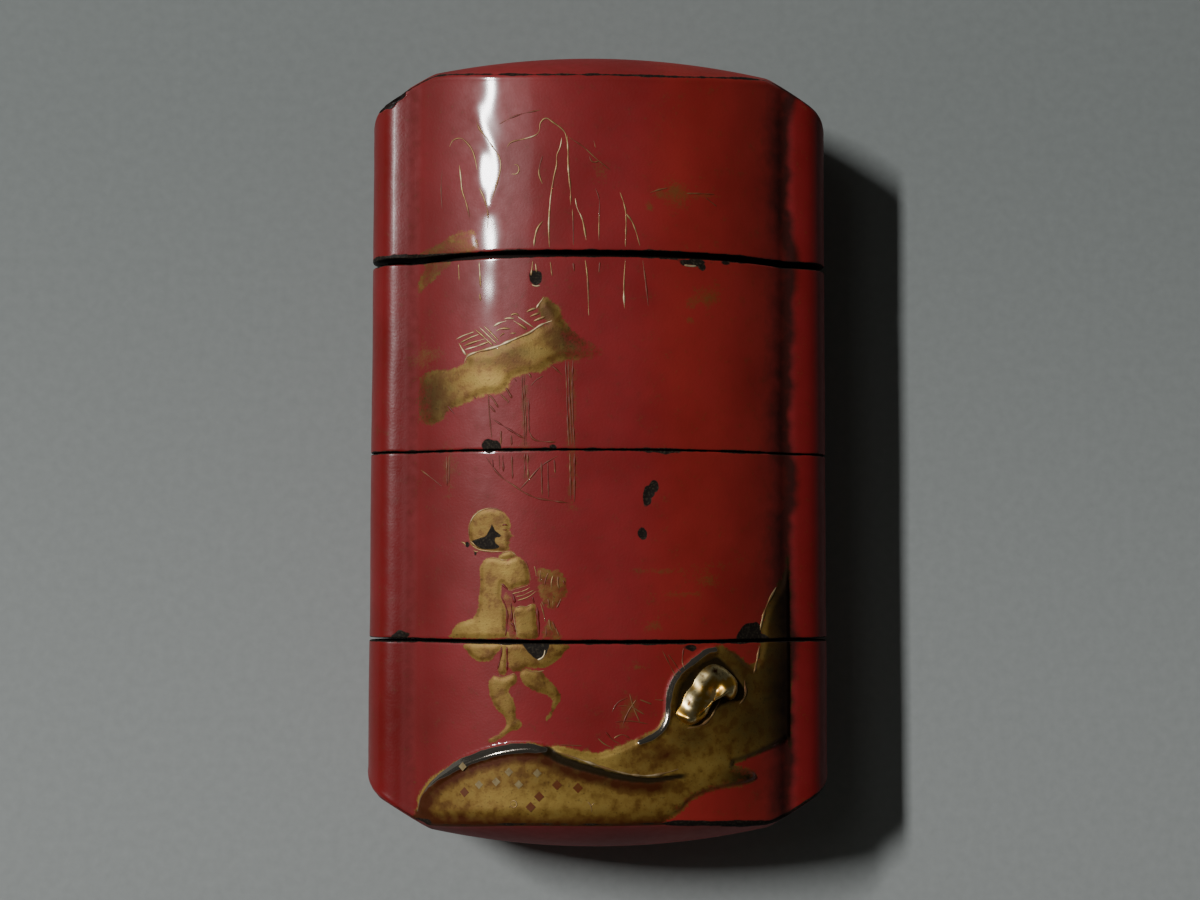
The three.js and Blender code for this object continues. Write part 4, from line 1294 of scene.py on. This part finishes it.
pebbleShape = {
    "height": 1.34,  # mm
    "least": 0.1,  # mm, at its edge
    "sunk": 0.06,  # mm below the lacquer
    "lean": 16,  # degrees about Y, with the slope of the case
    "middle": 11.2,  # mm along X, where it seats
    "crest": [(9.9, -29.7), (10.9, -28.9), (11.9, -27.7), (12.7, -26.7), (14, -26.9)],
    "sides": 160,
    "rings": 22,
}


def makePebble(metal):
    outline = rounded(pebble, 6)
    outline = spread(np.concatenate([outline, outline[:1]]), pebbleShape["sides"] + 1)[:-1]
    crest = spread(np.array(pebbleShape["crest"]), 200)
    core = crest[np.argmin(np.hypot(*(outline[:, None] - crest[None]).transpose(2, 0, 1)), 1)]
    area = sum(a[0] * b[1] - b[0] * a[1] for a, b in zip(outline, np.roll(outline, -1, 0)))
    if area < 0:
        outline, core = outline[::-1], core[::-1]
    layers = []
    shares = np.sin(np.linspace(0.02, 1, pebbleShape["rings"]) * math.pi / 2)
    for share in shares:  # underside, from the crest out
        flat = core + (outline - core) * share
        layers.append(np.column_stack([flat, 0 * flat[:, 0]]))
    for share in shares[::-1]:
        flat = core + (outline - core) * share
        uneven = 0.8 + 0.15 * ripple(*flat.T, 12, 1.4)
        dome = pebbleShape["height"] * max(0, 1 - share**1.6) ** 0.7 * uneven
        layers.append(np.column_stack([flat, np.maximum(pebbleShape["least"], dome)]))
    points = np.stack(layers)
    slope = math.tan(math.radians(pebbleShape["lean"]))
    middle = pebbleShape["middle"]
    seat = float(faceReach(middle)) - pebbleShape["sunk"] - (points[..., 0] - middle) * slope
    points[..., 2] += seat + case["halfThickness"]
    count = len(outline)
    index = np.arange(count)
    after = (index + 1) % count
    faces = []
    for k in range(len(layers) - 1):
        a, b = k * count, (k + 1) * count
        faces.append(np.stack([a + index, a + after, b + after, b + index], 1))
    verts = np.concatenate([points.reshape(-1, 3), points[0].mean(0)[None], points[-1].mean(0)[None]])
    end = (len(layers) - 1) * count
    caps = np.concatenate([
        np.stack([np.full(count, len(verts) - 2), after, index], 1),
        np.stack([end + index, end + after, np.full(count, len(verts) - 1)], 1),
    ])
    mesh = bpy.data.meshes.new("pebble")
    mesh.from_pydata((verts * mm).tolist(), [], np.concatenate(faces).tolist() + caps.tolist())
    mesh.polygons.foreach_set("use_smooth", np.ones(len(mesh.polygons), bool))
    mesh.materials.append(metal)
    return addObject("pebble", mesh)


floorLook = {
    "reach": 2.0,  # m
    "near": (-0.06, "#bdc2c0"),  # place along Y in m, and the grey there: the paler grey near the foot is painted light
    "far": (0.06, "#9aa09e"),
}


# Pale grey card, matt, with painted light: its grey is paler towards the case's foot
def makeFloor():
    reach = floorLook["reach"]
    mesh = bpy.data.meshes.new("floor")
    corners = [(-reach, -reach, 0), (reach, -reach, 0), (reach, reach, 0), (-reach, reach, 0)]
    mesh.from_pydata(corners, [], [(0, 1, 2, 3)])
    obj = addObject("floor", mesh)
    material, tree, shader, place = newFinish("pale grey card")
    along = addNode(tree, "ShaderNodeSeparateXYZ", {"Vector": place}).outputs["Y"]
    (near, paintedLitGrey), (far, paintedDimGrey) = floorLook["near"], floorLook["far"]
    amount = addNode(
        tree, "ShaderNodeMapRange", {"Value": along, 1: near, 2: far}, interpolation_type="SMOOTHSTEP"
    ).outputs[0]
    values = {0: amount, 6: toLinear(paintedLitGrey), 7: toLinear(paintedDimGrey)}
    grey = addNode(tree, "ShaderNodeMix", values, data_type="RGBA").outputs[2]
    values = {"Vector": place, "Scale": 900.0, "Detail": 4.0}
    fibre = addNode(tree, "ShaderNodeTexNoise", values).outputs["Fac"]
    values = {0: fibre, 6: toLinear("#e9e9e9"), 7: toLinear("#ffffff")}
    flecks = addNode(tree, "ShaderNodeMix", values, data_type="RGBA").outputs[2]
    values = {0: 1.0, 6: grey, 7: flecks}
    mixed = addNode(tree, "ShaderNodeMix", values, data_type="RGBA", blend_type="MULTIPLY").outputs[2]
    tree.links.new(mixed, shader.inputs["Base Color"])
    shader.inputs["Roughness"].default_value = 0.9
    mesh.materials.append(material)


placeCamera()
placeLamps()
makeFloor()
print("camera, lamps and floor")
lacquer, goldLine, inside, gilt = makeLacquer(), makeGoldLine(), makeInside(), makePebbleMetal()
beadTree, beadInputs = strokeTree()
for name in boxes:
    shell = makeShell(name, (lacquer, inside))
    cutFrom(shell, makeChannels(inside))
    if name == "lid":
        cutFrom(shell, makeLostCorner(inside))
    print(name, "cut", len(shell.data.polygons), "faces", list(shell.data.attributes.keys())[:12])
    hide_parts(name)
    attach(shell, "root")
    beads = makeStrokes(name, goldLine, beadTree, beadInputs)
    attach(beads, "root")
foilTree, foilInputs = squareTree()
for kind, foil in (
    ("brown", makeFoil("red-brown foil", "#7c2f14", 0.1)),
    ("silver", makeFoil("faded silver foil", "#b8a878", 0.25)),
):
    squares = makeSquares(kind, foil, foilTree, foilInputs)
    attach(squares, "root")
stone = makePebble(gilt)
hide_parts("pebble_inlay")
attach(stone, "root")
